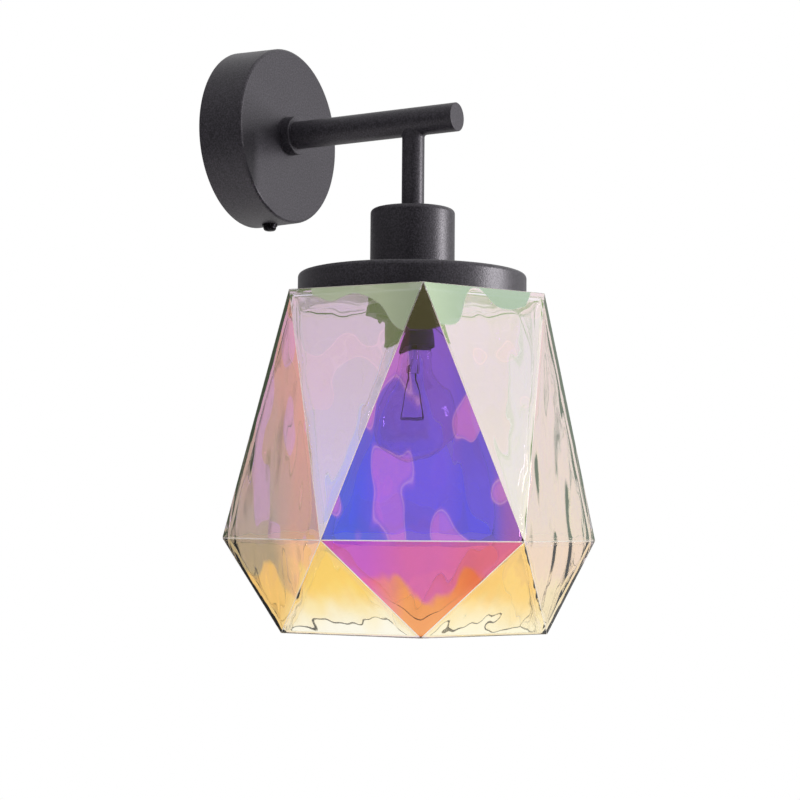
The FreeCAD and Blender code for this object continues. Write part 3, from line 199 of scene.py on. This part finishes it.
# The same PVC in green and yellow. The real sleeve has stripes 1 to 2 mm wide along it. Here they
# are drawn as slanting bands about 15 mm long, so that both colours show on this short lead.
EARTH_BANDS = 12.5  # scale of the bands, which puts one green and one yellow in 29 mm
earth_sleeve, tree = new_finish("Green and yellow PVC sleeve, extruded")
place = add(tree, "ShaderNodeTexCoord").outputs["Object"]
stripes = {"Vector": place, "Scale": EARTH_BANDS}
stripes = add(tree, "ShaderNodeTexWave", stripes, wave_type="BANDS", bands_direction="DIAGONAL")
edge = add(tree, "ShaderNodeMapRange", {"Value": stripes, "From Min": 0.5, "From Max": 0.56})
two = {"Factor": edge, "A": linear("#2f8a3c"), "B": linear("#e6d32e")}
two = add(tree, "ShaderNodeMix", two, data_type="RGBA")
skin = {"Base Color": two, "Roughness": 0.4, "IOR": 1.53}
add(tree, "ShaderNodeOutputMaterial", {"Surface": add(tree, "ShaderNodeBsdfPrincipled", skin)})
wear(earth_sleeve, "earth_lead")

# ---------------------------------------------------------------- lampholder and its ring
# A black phenolic lampholder for a large screw cap: dome, threaded sleeve and the fluted ring that
# clamps the glass from inside. Its ceramic puck holds the brass shell, contact and lead clamps.
# The sleeve passes the hole in the glass, and the ring is turned up against a silicone gasket.

# Black phenolic, compression moulded: hard, a soft gloss, faintly mottled.
phenolic = moulded(
    "Black phenolic, compression moulded", ("#18171a", "#232226"), roughness=0.5, size_mm=3.0, ior=1.6
)
wear(phenolic, "lampholder_dome", "lampholder_sleeve", "shade_ring")
# Glazed steatite: off-white with a thin clear glaze.
steatite = moulded(
    "Steatite ceramic, glazed", ("#e9e6df", "#f4f2ec"), roughness=0.2, size_mm=10.0, ior=1.55
)
wear(steatite, "lampholder_puck")
wear(brass, "lampholder_shell", "lampholder_contact", "lampholder_clamps")
# Silicone sheet, die cut: milky, soft and dull.
silicone = moulded(
    "Silicone gasket, die cut", ("#d9d9d6", "#e6e6e3"), roughness=0.6, size_mm=6.0, ior=1.41
)
wear(silicone, "ring_gasket")

# ---------------------------------------------------------------- glass shade
# Soda-lime glass, pressed in a mould that gives it 24 flat triangles outside and a flowing, wavy
# face inside, with a fire-polished rim. A clear film, laid on the outside in a vacuum, splits light:
# it sends back one part of the colours and lets the other through. The ring holds it by its hole.

LAMP_AXIS = -131.0  # of the shade and the bulb, out from the wall
TURN = math.radians(-86.3)  # direction of the first corner of the top
TOP, MIDDLE, BOTTOM = (-119.3, 94.0), (-277.0, 122.5), (-335.5, 96.5)  # height and corner radius
WALL = 4.0  # at the neck
INSIDE = (TOP[0] - WALL, 90.35), (MIDDLE[0], 117.9), (BOTTOM[0] + 1.6, 92.3)  # the same, inside
NECK_RADII = 60.0, 40.0, 21.5  # rings of the flat neck, the last one the edge of its hole
LID_AREA = 4000  # square millimetres, less than the solid's flat top and bottom have
LONG_EDGE = 20  # less than a side of the top or bottom, more than the edges round a corner
RIDGE = 0.35  # half the width of a softened ridge
STEPS = 48  # faces along each side of a triangle inside
SOFTENED = 10  # passes that round the creases inside
WAVE_WIDTH, WAVE_LENGTH = 15.0, 36.0  # of the flow marks inside, across and down
WAVE_TOP, WAVE_LOW = 0.7, 0.95  # their height, at the neck and at the rim
CALM = 8.0  # under the neck the marks start from nothing, over this distance
RIPPLE = 0.27  # height of the finer marks on them, as a part of their own
RIPPLES_ACROSS, RIPPLES_DOWN = 2.2, 2.0  # finer marks in each of them
RIM_RISE, RIM_UNEVEN = 0.7, 0.6  # of the rim's outer edge above the lowest point
RIM_WAVE = 16.0  # length of its unevenness
RIM_ROUND, RIM_LEAST = 0.35, 0.1  # how far polish rounds it down, and what stays clear below it
RIM_RINGS = 0.12, 0.35, 0.65, 0.9  # places of the rings across the wall
UNEVEN_SIZE, RUB_SIZE = 14.0, 6.0  # of the spots in the polish and in the rubbed ridges
POINT, SIDE, LOW_POINT, LOW_SIDE, RIDGE_HIGHLIGHT, POLISHED, PRESSED = range(7)  # places in the finishes


def corner(ring, half_steps):
    """A corner of a ring, at so many twelfths of a turn from the first corner of the top."""
    height, radius = ring
    angle = TURN + half_steps * math.pi / 6
    return Vector((radius * math.cos(angle), radius * math.sin(angle), height))


def faceted(mesh, top, middle, low, finishes):
    """Two rows of twelve triangles, points and sides in turn, between three rings of six corners."""
    upper = [mesh.verts.new(corner(top, 2 * k)) for k in range(6)]
    waist = [mesh.verts.new(corner(middle, 2 * k + 1)) for k in range(6)]
    under = [mesh.verts.new(corner(low, 2 * k)) for k in range(6)]
    made = []
    for k in range(6):
        after, before = (k + 1) % 6, (k + 5) % 6
        for corners, finish in (
            ((upper[k], waist[before], waist[k]), finishes[0]),
            ((upper[k], waist[k], upper[after]), finishes[1]),
            ((waist[before], under[k], waist[k]), finishes[2]),
            ((waist[k], under[k], under[after]), finishes[3]),
        ):
            made.append(mesh.faces.new(corners))
            made[-1].material_index = finish
    return made, upper, under


def flow(point):
    """How far a point of the inner face stands in from its flat place, from slow, drawn-out marks."""
    x, y, z = point.x / WAVE_WIDTH, point.y / WAVE_WIDTH, point.z
    elsewhere = 40  # so that the finer marks don't repeat the large ones
    ripples = (RIPPLES_ACROSS * x, RIPPLES_ACROSS * y, elsewhere + RIPPLES_DOWN * z / WAVE_LENGTH)
    marks = noise.noise((x, y, z / WAVE_LENGTH)) + RIPPLE * noise.noise(ripples)
    depth = (TOP[0] - z) / (TOP[0] - BOTTOM[0])
    calm = min(1.0, (INSIDE[0][0] - z) / CALM)
    return (WAVE_TOP + (WAVE_LOW - WAVE_TOP) * depth) * marks * calm


# Outside: the solid of flat triangles, its ridges softened, open at the top and the bottom.
shell = bmesh.new()
upper, under = faceted(shell, TOP, MIDDLE, BOTTOM, (POINT, SIDE, LOW_POINT, LOW_SIDE))[1:]
shell.faces.new(upper)
shell.faces.new(under[::-1])
bmesh.ops.recalc_face_normals(shell, faces=shell.faces)
bmesh.ops.bevel(
    shell, geom=shell.edges[:], offset=RIDGE, segments=2, profile=0.5, affect="EDGES", material=RIDGE_HIGHLIGHT
)
for face in shell.faces[:]:
    # The top and the bottom were only there to give the ridges round them.
    if abs(face.normal.z) > 0.999 and face.calc_area() > LID_AREA:
        shell.faces.remove(face)
open_edges = [e for e in shell.edges if e.is_boundary]
long_edges = [e for e in open_edges if e.calc_length() > LONG_EDGE]
at_corner = (len(open_edges) - len(long_edges)) // 12  # short edges round each of the 12 corners
bmesh.ops.subdivide_edges(shell, edges=long_edges, cuts=STEPS - 1 - at_corner)

# Inside: the same solid a wall's thickness in, cut fine, with rounded creases and the flow marks.
inner = faceted(shell, *INSIDE, (PRESSED,) * 4)[0]
creases = dict.fromkeys(e for face in inner for e in face.edges)  # each once, in a fixed order
bmesh.ops.subdivide_edges(shell, edges=list(creases), cuts=STEPS - 1, use_grid_fill=True)
pressed_faces = [face for face in shell.faces if face.material_index == PRESSED]
pressed_points = dict.fromkeys(v for face in pressed_faces for v in face.verts)
every_way = {"use_axis_x": True, "use_axis_y": True, "use_axis_z": True}
for _ in range(SOFTENED):
    free = [v for v in pressed_points if not v.is_boundary]
    bmesh.ops.smooth_vert(shell, verts=free, factor=0.5, **every_way)
for v in pressed_points:
    v.co -= Vector((v.co.x, v.co.y, 0)).normalized() * flow(v.co)
for face in shell.faces:
    face.smooth = face.material_index >= RIDGE_HIGHLIGHT


def angle_of(point):
    """The direction of a point of the shell from its axis."""
    return math.atan2(point.co.y, point.co.x)


def open_loop(low, inside):
    """The points of one open edge of the shell, in rising angle from a little before a top corner."""
    edges = [e for e in shell.edges if e.is_boundary and (e.verts[0].co.z < MIDDLE[0]) == low]
    edges = [e for e in edges if (e.link_faces[0].material_index == PRESSED) == inside]
    points = {v for e in edges for v in e.verts}
    return sorted(points, key=lambda v: (angle_of(v) - TURN + 0.5 * math.pi / 6) % math.tau)


def join(first, second, finish):
    """A band of faces between two rings with the same count of points."""
    for k in range(len(first)):
        n = (k + 1) % len(first)
        made = shell.faces.new((first[k], first[n], second[n], second[k]))
        made.material_index = finish
        made.smooth = True


rim_outside, rim_inside = open_loop(True, False), open_loop(True, True)
neck_outside, neck_inside = open_loop(False, False), open_loop(False, True)

# Fire polish leaves the rim's lower edge rounded and a little uneven.
for v in rim_outside:
    v.co.z += RIM_RISE + RIM_UNEVEN * noise.noise((v.co.x / RIM_WAVE, v.co.y / RIM_WAVE, 7.0))
rounded = [rim_outside]
for part in RIM_RINGS:
    ring = []
    for a, b in zip(rim_outside, rim_inside):
        spot = a.co.lerp(b.co, part)
        low = a.co.z + (b.co.z - a.co.z) * part**3 - RIM_ROUND * math.sin(math.pi * part)
        ring.append(shell.verts.new((spot.x, spot.y, max(BOTTOM[0] + RIM_LEAST, low))))
    rounded.append(ring)
rounded.append(rim_inside)
for a, b in zip(rounded, rounded[1:]):
    join(a, b, POLISHED)

# The flat neck: its under face, the edge of the hole and its upper face.
turns = [angle_of(v) for v in neck_inside]
neck = [neck_inside]
for radius in NECK_RADII:
    ring = [(radius * math.cos(a), radius * math.sin(a), INSIDE[0][0]) for a in turns]
    neck.append([shell.verts.new(spot) for spot in ring])
neck.append([shell.verts.new((v.co.x, v.co.y, TOP[0])) for v in neck[-1]])
neck.append(neck_outside)
for a, b in zip(neck, neck[1:]):
    join(a, b, POLISHED)
bmesh.ops.recalc_face_normals(shell, faces=shell.faces)
for v in shell.verts:
    v.co = Vector((v.co.x, v.co.y + LAMP_AXIS, v.co.z)) * MM
shade_mesh = bpy.data.meshes.new("shade_of_faceted_glass")
shell.to_mesh(shade_mesh)
shell.free()
shade = bpy.data.objects.new("shade_of_faceted_glass", shade_mesh)
bpy.context.collection.objects.link(shade)

# Painted reflections: slow pink blotches, each with a pale painted highlight line along its edge,
# stand in for the light that the wavy inner face sends back. A soft noise between 0 and 1 lays them.
BLOTCH_STARTS, BLOTCH_FULL = 0.55, 0.6  # levels of that noise
BLOTCH_LINE = 0.009  # half the width of a line, in the same levels
BLOTCH_UP, BLOTCH_SLICE = -0.44, 1.7  # which part of the noise is used, so where blotches fall

# Under the neck, on the three upper faces nearest the front, a green edge with slow lobes along its
# border is painted reflection and shade: it stands for the dark cap and lampholder seen in and
# through the film. It is milky too, and hides most of the lampholder.
EDGE_DEEP_TO, EDGE_SHALLOW_FROM = 0.14, 0.42  # angles off the front, in radians
EDGE_ENDS = 0.86, 1.04  # angles between which it runs out
EDGE_GONE = -30.0  # added to its depth past the ends, so that nothing is left
LOBE_HEIGHT, LOBES = 6.0, 0.7  # how far a lobe hangs, and how many there are for each flow mark
EDGE_SOFT = 0.6  # half the width of the change at its border
EDGE_TURNS = 0.3  # angle to each side over which its left colour becomes its right one
EDGE_CLEAR = 0.12  # part of the light that it lets straight through


def with_reflection_blotches(tree, colour, drawn_out, tone, strength, line_tone):
    """The colour with lighter blotches of painted reflection, of the given strength, and painted
    highlight lines along their edges.
    """
    moved = add(tree, "ShaderNodeVectorMath", {0: drawn_out, 1: (0, 0, BLOTCH_UP)}, operation="ADD")
    wide = {"Vector": moved, "Scale": 0.8, "Detail": 0.5, "W": BLOTCH_SLICE}
    wide = add(tree, "ShaderNodeTexNoise", wide, noise_dimensions="4D")
    blotch = {"Value": wide, "From Min": BLOTCH_STARTS, "From Max": BLOTCH_FULL, "To Max": strength}
    blotch = add(tree, "ShaderNodeMapRange", blotch)
    edge = (BLOTCH_STARTS + BLOTCH_FULL) / 2
    off_edge = add(tree, "ShaderNodeMath", {0: wide, 1: edge}, operation="SUBTRACT")
    off_edge = add(tree, "ShaderNodeMath", {0: off_edge}, operation="ABSOLUTE")
    line = {"Value": off_edge, "From Max": BLOTCH_LINE, "To Min": strength, "To Max": 0.0}
    line = add(tree, "ShaderNodeMapRange", line)
    for share, lighter in ((blotch, tone), (line, line_tone)):
        colour = {"Factor": share, "A": colour, "B": linear(lighter)}
        colour = add(tree, "ShaderNodeMix", colour, data_type="RGBA", blend_type="LIGHTEN")
    return colour


def with_painted_cap_edge(tree, colour, turned, upright, drawn_out, deep, shallow, left, right):
    """The colour with the green edge, a painted reflection of the cap, deep in front and shallow
    beside it, and how clear it is.
    """
    off_front = add(tree, "ShaderNodeMath", {0: turned}, operation="ABSOLUTE")
    reach = {"Value": off_front, "From Min": EDGE_DEEP_TO, "From Max": EDGE_SHALLOW_FROM}
    reach.update({"To Min": deep * MM, "To Max": shallow * MM})
    reach = add(tree, "ShaderNodeMapRange", reach, interpolation_type="SMOOTHSTEP")
    end = {"Value": off_front, "From Min": EDGE_ENDS[0], "From Max": EDGE_ENDS[1]}
    end = add(tree, "ShaderNodeMapRange", {**end, "To Max": EDGE_GONE * MM})
    reach = add(tree, "ShaderNodeMath", {0: reach, 1: end}, operation="ADD")
    lobes = {"Vector": drawn_out, "Scale": LOBES, "Detail": 0.0}
    lobes = {"Value": add(tree, "ShaderNodeTexNoise", lobes), "From Min": 0.3, "From Max": 0.7}
    lobes.update({"To Min": -LOBE_HEIGHT * MM, "To Max": LOBE_HEIGHT * MM})
    lobes = add(tree, "ShaderNodeMapRange", lobes)
    under = add(tree, "ShaderNodeMath", {0: upright, 1: reach}, operation="ADD")
    under = add(tree, "ShaderNodeMath", {0: under, 1: lobes}, operation="ADD")
    border = {"From Min": (TOP[0] - EDGE_SOFT) * MM, "From Max": (TOP[0] + EDGE_SOFT) * MM}
    share = add(tree, "ShaderNodeMapRange", {"Value": under, **border})
    across = {"Value": turned, "From Min": -EDGE_TURNS, "From Max": EDGE_TURNS}
    across = add(tree, "ShaderNodeMapRange", across)
    green = {"Factor": across, "A": linear(left), "B": linear(right)}
    green = add(tree, "ShaderNodeMix", green, data_type="RGBA")
    colour = {"Factor": share, "A": colour, "B": green}
    colour = add(tree, "ShaderNodeMix", colour, data_type="RGBA")
    clear = add(tree, "ShaderNodeMapRange", {"Value": share, "To Min": 1.0, "To Max": EDGE_CLEAR})
    return colour, clear


# The film's colour is what it lets through. The real film's colour changes with the angle it is seen
# at; here it is painted by direction round the shade: violet to blue on the triangle that looks into
# the room, rose, straw and nearly clear on the slanting ones, whose pale tints are partly painted
# reflection of the bright room.
def filmed_glass(name, film_nm, heights, panels, wander_mm, mark_mm, edge=None, reflection_blotches=None):
    """Glass under the film. Each panel: its turn from and to, in degrees off the front, its high and
    low colour. They change over between two heights, which wander with marks mark_mm wide and long.
    An edge, painted reflection and shade of the cap, has its depth in front and beside, its left and
    right colour. Reflection blotches have their colour, strength and line colour."""
    finish, tree = new_finish(name)
    place = add(tree, "ShaderNodeTexCoord").outputs["Object"]
    axis = (0, LAMP_AXIS * MM, 0)
    middle = add(tree, "ShaderNodeVectorMath", {0: place, 1: axis}, operation="SUBTRACT")
    front = TURN - math.pi / 3
    ahead = {0: middle, 1: (math.cos(front), math.sin(front), 0)}
    aside = {0: middle, 1: (-math.sin(front), math.cos(front), 0)}
    ahead = add(tree, "ShaderNodeVectorMath", ahead, operation="DOT_PRODUCT").outputs["Value"]
    aside = add(tree, "ShaderNodeVectorMath", aside, operation="DOT_PRODUCT").outputs["Value"]
    turned = add(tree, "ShaderNodeMath", {0: aside, 1: ahead}, operation="ARCTAN2")
    around = {"Value": turned, "From Min": -math.pi, "From Max": math.pi}
    around = add(tree, "ShaderNodeMapRange", around)
    tones = []
    for tone in (2, 3):
        stops = [((turn + 180) / 360, panel[tone]) for panel in panels for turn in panel[:2]]
        tones.append(add(tree, "ShaderNodeValToRGB", {"Fac": around}, stops).outputs["Color"])
    drawn_out = {0: place, 1: [1 / (size * MM) for size in (mark_mm[0], mark_mm[0], mark_mm[1])]}
    drawn_out = add(tree, "ShaderNodeVectorMath", drawn_out, operation="MULTIPLY")
    marks = add(tree, "ShaderNodeTexNoise", {"Vector": drawn_out, "Scale": 1.0, "Detail": 1.5})
    shift = {"Value": marks, "From Min": 0.3, "From Max": 0.7}
    shift.update({"To Min": -wander_mm * MM, "To Max": wander_mm * MM})
    shift = add(tree, "ShaderNodeMapRange", shift)
    upright = add(tree, "ShaderNodeSeparateXYZ", {"Vector": place}).outputs["Z"]
    height = add(tree, "ShaderNodeMath", {0: upright, 1: shift}, operation="ADD")
    down = {"Value": height, "From Min": heights[0] * MM, "From Max": heights[1] * MM}
    down = add(tree, "ShaderNodeMapRange", down, interpolation_type="SMOOTHSTEP")
    colour = {"Factor": down, "A": tones[0], "B": tones[1]}
    colour = add(tree, "ShaderNodeMix", colour, data_type="RGBA")
    clear = 1.0
    if reflection_blotches:
        colour = with_reflection_blotches(tree, colour, drawn_out, *reflection_blotches)
    if edge:
        colour, clear = with_painted_cap_edge(tree, colour, turned, upright, drawn_out, *edge)
    # The shader halves a tint between the two faces of a piece, and only this face has the film.
    once = add(tree, "ShaderNodeVectorMath", {0: colour, 1: colour}, operation="MULTIPLY")
    skin = {
        "Base Color": once,
        "Roughness": 0.0,
        "IOR": 1.5,
        "Transmission Weight": clear,
        "Thin Film Thickness": film_nm,
        "Thin Film IOR": 2.3,
    }
    add(tree, "ShaderNodeOutputMaterial", {"Surface": add(tree, "ShaderNodeBsdfPrincipled", skin)})
    return finish


def clear_glass(name, ior, tint="#ffffff"):
    """Polished glass with no film, with a trace of unevenness in how it shines."""
    finish, tree = new_finish(name)
    place = add(tree, "ShaderNodeTexCoord").outputs["Object"]
    marks = {"Vector": place, "Scale": 1 / (UNEVEN_SIZE * MM), "Detail": 2.0}
    marks = add(tree, "ShaderNodeTexNoise", marks)
    gloss = add(tree, "ShaderNodeMapRange", {"Value": marks, "To Min": 0.0, "To Max": 0.02})
    skin = {"Base Color": linear(tint), "Roughness": gloss, "IOR": ior, "Transmission Weight": 1.0}
    add(tree, "ShaderNodeOutputMaterial", {"Surface": add(tree, "ShaderNodeBsdfPrincipled", skin)})
    return finish


# Upper points: violet to blue in front, brownish rose to the left, straw to the right, lilac behind.
points = filmed_glass(
    "Filmed glass, upper points",
    film_nm=188.0,
    heights=(-140, -285),
    panels=[
        (-180, -150.5, "#e6dcf6", "#d6d3f8"),
        (-149.5, -90.5, "#f2dce2", "#ecdade"),
        (-89.5, -58, "#eec0aa", "#d0c8b2"),
        (-45, -30.5, "#fcc6b0", "#ecc8ae"),
        (-29.5, -20, "#9068d2", "#6881f8"),
        (-8, 8, "#a072de", "#957af0"),
        (14, 22, "#8e68da", "#8274f2"),
        (26, 29.5, "#9668d8", "#bc78d2"),
        (30.5, 89.5, "#fdf2ea", "#fff4e4"),
        (90.5, 149.5, "#f2e4ea", "#f2e6e0"),
        (150.5, 180, "#e6dcf6", "#d6d3f8"),
    ],
    wander_mm=14.0,
    mark_mm=(15.0, 34.0),
    # The dark olive edge under the neck is painted shade, where the dark lampholder shows through.
    edge=(24.0, 24.0, "#858078", "#858078"),
    # The pink blotches and their pale lines are painted reflections of the wavy inner face.
    reflection_blotches=("#e494d8", 0.9, "#e6b2e6"),
)
# Upper sides: pale lilac, with the brightest part of the green edge, the painted reflection of the
# cap.
sides = filmed_glass(
    "Filmed glass, upper sides",
    film_nm=184.0,
    heights=(-150, -270),
    panels=[
        (-180, -120.5, "#f4dae6", "#f2dcea"),
        (-119.5, -60.5, "#f0dae0", "#f0e0e0"),
        (-59.5, -0.5, "#dfd8e4", "#e6e8ff"),
        (0.5, 59.5, "#e2d6ea", "#f6f4f4"),
        (60.5, 119.5, "#f3e6e6", "#f6eeea"),
        (120.5, 180, "#f4dae6", "#f2dcea"),
    ],
    wander_mm=5.0,
    mark_mm=(20.0, 22.0),
    edge=(26.0, 7.0, "#e8ebe4", "#acb2c0"),
    # Pale pink blotches with white lines: painted reflections of the wavy inner face.
    reflection_blotches=("#f0cde2", 0.5, "#ffe8f2"),
)
# Lower points: magenta that runs down into orange in front, straw and buff elsewhere.
low_points = filmed_glass(
    "Filmed glass, lower points",
    film_nm=0.0,
    heights=(-302, -308),
    panels=[
        (-180, -150.5, "#faece6", "#fff6e4"),
        (-149.5, -90.5, "#f5e4d4", "#fbecca"),
        (-89.5, -58, "#c2b79b", "#fcd890"),
        (-45, -30.5, "#ffd6ae", "#ffe4a4"),
        (-29.5, -18, "#ce69d8", "#e46cb8"),
        (-6, 6, "#dc70ba", "#f4a464"),
        (18, 29.5, "#e474a2", "#ee7a50"),
        (30.5, 89.5, "#fff0de", "#fff4d8"),
        (90.5, 149.5, "#f6e8dc", "#fbf2dc"),
        (150.5, 180, "#faece6", "#fff6e4"),
    ],
    wander_mm=14.0,
    mark_mm=(22.0, 40.0),
)
# Lower sides: amber at the waist through yellow to cream at the rim.
low_sides = filmed_glass(
    "Filmed glass, lower sides",
    film_nm=0.0,
    heights=(-304, -334),
    panels=[
        (-180, -60.5, "#fdecc8", "#fffbee"),
        (-59.5, -0.5, "#fee282", "#fffbea"),
        (0.5, 59.5, "#fddc86", "#fff8dc"),
        (60.5, 180, "#fdecc8", "#fffbee"),
    ],
    wander_mm=5.0,
    mark_mm=(16.0, 30.0),
)
# The ridges come off the mould a little rubbed, and each is painted as a fine pale line: partly the
# rubbed glass, partly a painted highlight where the rounded ridge catches the light.
rubbed_ridge_highlight, tree = new_finish("Soda-lime glass, rubbed ridge")
place = add(tree, "ShaderNodeTexCoord").outputs["Object"]
rub = {"Vector": place, "Scale": 1 / (RUB_SIZE * MM), "Detail": 2.0}
rub = add(tree, "ShaderNodeTexNoise", rub)
dull = add(tree, "ShaderNodeMapRange", {"Value": rub, "To Min": 0.25, "To Max": 0.5})
skin = {"Base Color": linear("#f6f0e6"), "Roughness": dull, "IOR": 1.5, "Transmission Weight": 0.82}
add(tree, "ShaderNodeOutputMaterial", {"Surface": add(tree, "ShaderNodeBsdfPrincipled", skin)})
# Neck, rim and inner face have no film: colourless, and bright with sharp reflections.
polished = clear_glass("Soda-lime glass, fire polished", 1.5)
pressed = clear_glass("Soda-lime glass, pressed", 1.5)
for finish in (points, sides, low_points, low_sides, rubbed_ridge_highlight, polished, pressed):
    shade.data.materials.append(finish)
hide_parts("shade_glass")
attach(shade, "fixture")

# ---------------------------------------------------------------- bulb
# A clear pear-shaped lamp: a blown bulb with a pressed glass mount inside, two bent support wires
# and a coiled tungsten wire. The screw cap is cemented on and soldered at its centre contact.

# Blown glass, thin and even: seen by its bright and dark outline and a few small lights.
wear(clear_glass("Blown lamp glass", 1.5, "#fbf8fc"), "bulb_glass")
# Lead glass, pressed round the wires: clear and a little brighter at its edges than the bulb.
wear(clear_glass("Lead glass mount, pressed", 1.55), "bulb_mount")
for piece, name, tones, roughness, size_mm, relief_mm in (
    # Nickel on brass: a warm grey shine.
    ("bulb_cap", "Nickel-plated brass cap", ("#a9a49a", "#cfcac0"), (0.22, 0.36), 3.0, 0.01),
    # Tin solder, wiped on the contact: dull silver.
    ("bulb_contact", "Tin solder, wiped", ("#8f9194", "#b4b6b8"), (0.4, 0.55), 1.5, 0.03),
    # Nickel-iron wires, oxidised where they pass the glass: dull brown.
    ("bulb_lead_wires", "Lamp support wire, oxidised", ("#4a3a34", "#6a564c"), (0.35, 0.5), 2.0, 0.01),
    # Tungsten, drawn and coiled: dark grey-brown and dull.
    ("filament", "Tungsten wire, coiled", ("#4b3128", "#6b4a3c"), (0.45, 0.6), 0.5, 0.005),
):
    wear(metal(name, tones, roughness, size_mm, relief_mm), piece)
# The black glass of a lamp cap: opaque and glossy.
cap_glass = moulded(
    "Black cap glass, pressed", ("#0f0f12", "#1a1a1e"), roughness=0.12, size_mm=3.0, ior=1.52
)
wear(cap_glass, "bulb_insulator")

# ---------------------------------------------------------------- floor, light and camera
# A pale studio with white light from all round. What the glass and the paint mirror of it is dark
# behind the camera, dim on the left, brighter on the right and brightest overhead. One tall strip
# light stands on the right.

FLOOR_SIDE, FLOOR_PLACE = 4.0, (0, -0.1, -1.1)  # in metres
MOTTLE_SIZE = 60.0  # of the floor paint
LAMP_MIDDLE = Vector((0, LAMP_AXIS, -200)) * MM
CAMERA = Vector((-1036.9, -719.0, -266.8)) * MM
LOOKS_AT = Vector((-3.67, -124.62, -185.52)) * MM
TO_THE_RIGHT = 0.4987, -0.8668, 0  # of the camera, level
ROLL = math.radians(0.5)
DARK_WITHIN, LIT_BEYOND = math.radians(20), math.radians(42)  # of the line to the camera
DARK, LEFT, RIGHT, OVERHEAD = 0.22, 0.22, 0.7, 1.9  # what the mirrored room sends, the light being 1
STRIP_WIDTH, STRIP_HEIGHT, STRIP_WATTS = 0.1, 0.5, 21.0
STRIP_PLACE = LAMP_MIDDLE + Vector((0.73, -1.43, 0.22))

half = FLOOR_SIDE / 2
floor_corners = [(-half, -half, 0), (half, -half, 0), (half, half, 0), (-half, half, 0)]
floor_mesh = bpy.data.meshes.new("studio_floor")
floor_mesh.from_pydata(floor_corners, [], [(0, 1, 2, 3)])
floor = bpy.data.objects.new("studio_floor", floor_mesh)
floor.location = FLOOR_PLACE
bpy.context.collection.objects.link(floor)
# Matte white paint with a faint mottle, so that nothing on the floor draws the eye.
floor_paint, tree = new_finish("Studio floor, matte white paint")
place = add(tree, "ShaderNodeTexCoord").outputs["Object"]
mottle = {"Vector": place, "Scale": 1 / (MOTTLE_SIZE * MM), "Detail": 2.0}
mottle = add(tree, "ShaderNodeTexNoise", mottle)
tone = {"Factor": mottle, "A": linear("#f2f1ef"), "B": linear("#f7f6f4")}
skin = {"Base Color": add(tree, "ShaderNodeMix", tone, data_type="RGBA"), "Roughness": 0.8}
add(tree, "ShaderNodeOutputMaterial", {"Surface": add(tree, "ShaderNodeBsdfPrincipled", skin)})
floor.data.materials.append(floor_paint)

# White all round where it is seen or lights a surface. Only a mirrored ray meets the darker room.
world = bpy.data.worlds.new("White studio")
bpy.context.scene.world = world
world.use_nodes = True
tree = world.node_tree
tree.nodes.clear()
towards = add(tree, "ShaderNodeTexCoord").outputs["Generated"]
dark_side = (CAMERA - LAMP_MIDDLE).normalized()
near = add(tree, "ShaderNodeVectorMath", {0: towards, 1: dark_side}, operation="DOT_PRODUCT")
room = {"Value": near.outputs["Value"], "From Min": math.cos(LIT_BEYOND)}
room.update({"From Max": math.cos(DARK_WITHIN), "To Min": 1.0, "To Max": DARK})
room = add(tree, "ShaderNodeMapRange", room, interpolation_type="SMOOTHSTEP")
across = add(tree, "ShaderNodeVectorMath", {0: towards, 1: TO_THE_RIGHT}, operation="DOT_PRODUCT")
walls = {"Value": across.outputs["Value"], "From Min": -0.9, "From Max": 0.9}
walls = add(tree, "ShaderNodeMapRange", {**walls, "To Min": LEFT, "To Max": RIGHT})
upward = add(tree, "ShaderNodeSeparateXYZ", {"Vector": towards}).outputs["Z"]
ceiling = {"Value": upward, "From Min": 0.3, "From Max": 0.5, "To Min": 1.0, "To Max": OVERHEAD}
ceiling = add(tree, "ShaderNodeMapRange", ceiling)
lit = add(tree, "ShaderNodeMath", {0: room, 1: walls}, operation="MULTIPLY")
sent_back = add(tree, "ShaderNodeMath", {0: lit, 1: ceiling}, operation="MULTIPLY")
ray = add(tree, "ShaderNodeLightPath")
level = {"Factor": ray.outputs["Is Reflection Ray"], "A": 1.0, "B": sent_back}
level = add(tree, "ShaderNodeMix", level)
sky = add(tree, "ShaderNodeBackground", {"Color": (1, 1, 1, 1), "Strength": level})
add(tree, "ShaderNodeOutputWorld", {"Surface": sky})

# The strip light draws a bright band down the cup and the stem and small glints on the bulb.
strip_lamp = bpy.data.lights.new("strip_light", "AREA")
strip_lamp.shape, strip_lamp.energy = "RECTANGLE", STRIP_WATTS
strip_lamp.size, strip_lamp.size_y = STRIP_WIDTH, STRIP_HEIGHT
strip_light = bpy.data.objects.new("strip_light", strip_lamp)
strip_light.location = STRIP_PLACE
strip_light.rotation_euler = (LAMP_MIDDLE - STRIP_PLACE).to_track_quat("-Z", "Y").to_euler()
bpy.context.collection.objects.link(strip_light)

camera = bpy.data.cameras.new("camera")
camera.sensor_width, camera.lens = 36.0, 81.66
camera.clip_end = 50.0
seen_from = bpy.data.objects.new("camera", camera)
bpy.context.collection.objects.link(seen_from)
seen_from.location = CAMERA
aim = (LOOKS_AT - CAMERA).normalized()
look = aim.to_track_quat("-Z", "Y").to_matrix()
seen_from.rotation_euler = (look @ Matrix.Rotation(ROLL, 3, "Z")).to_euler()
bpy.context.scene.camera = seen_from
bpy.context.scene.view_settings.view_transform = "Standard"
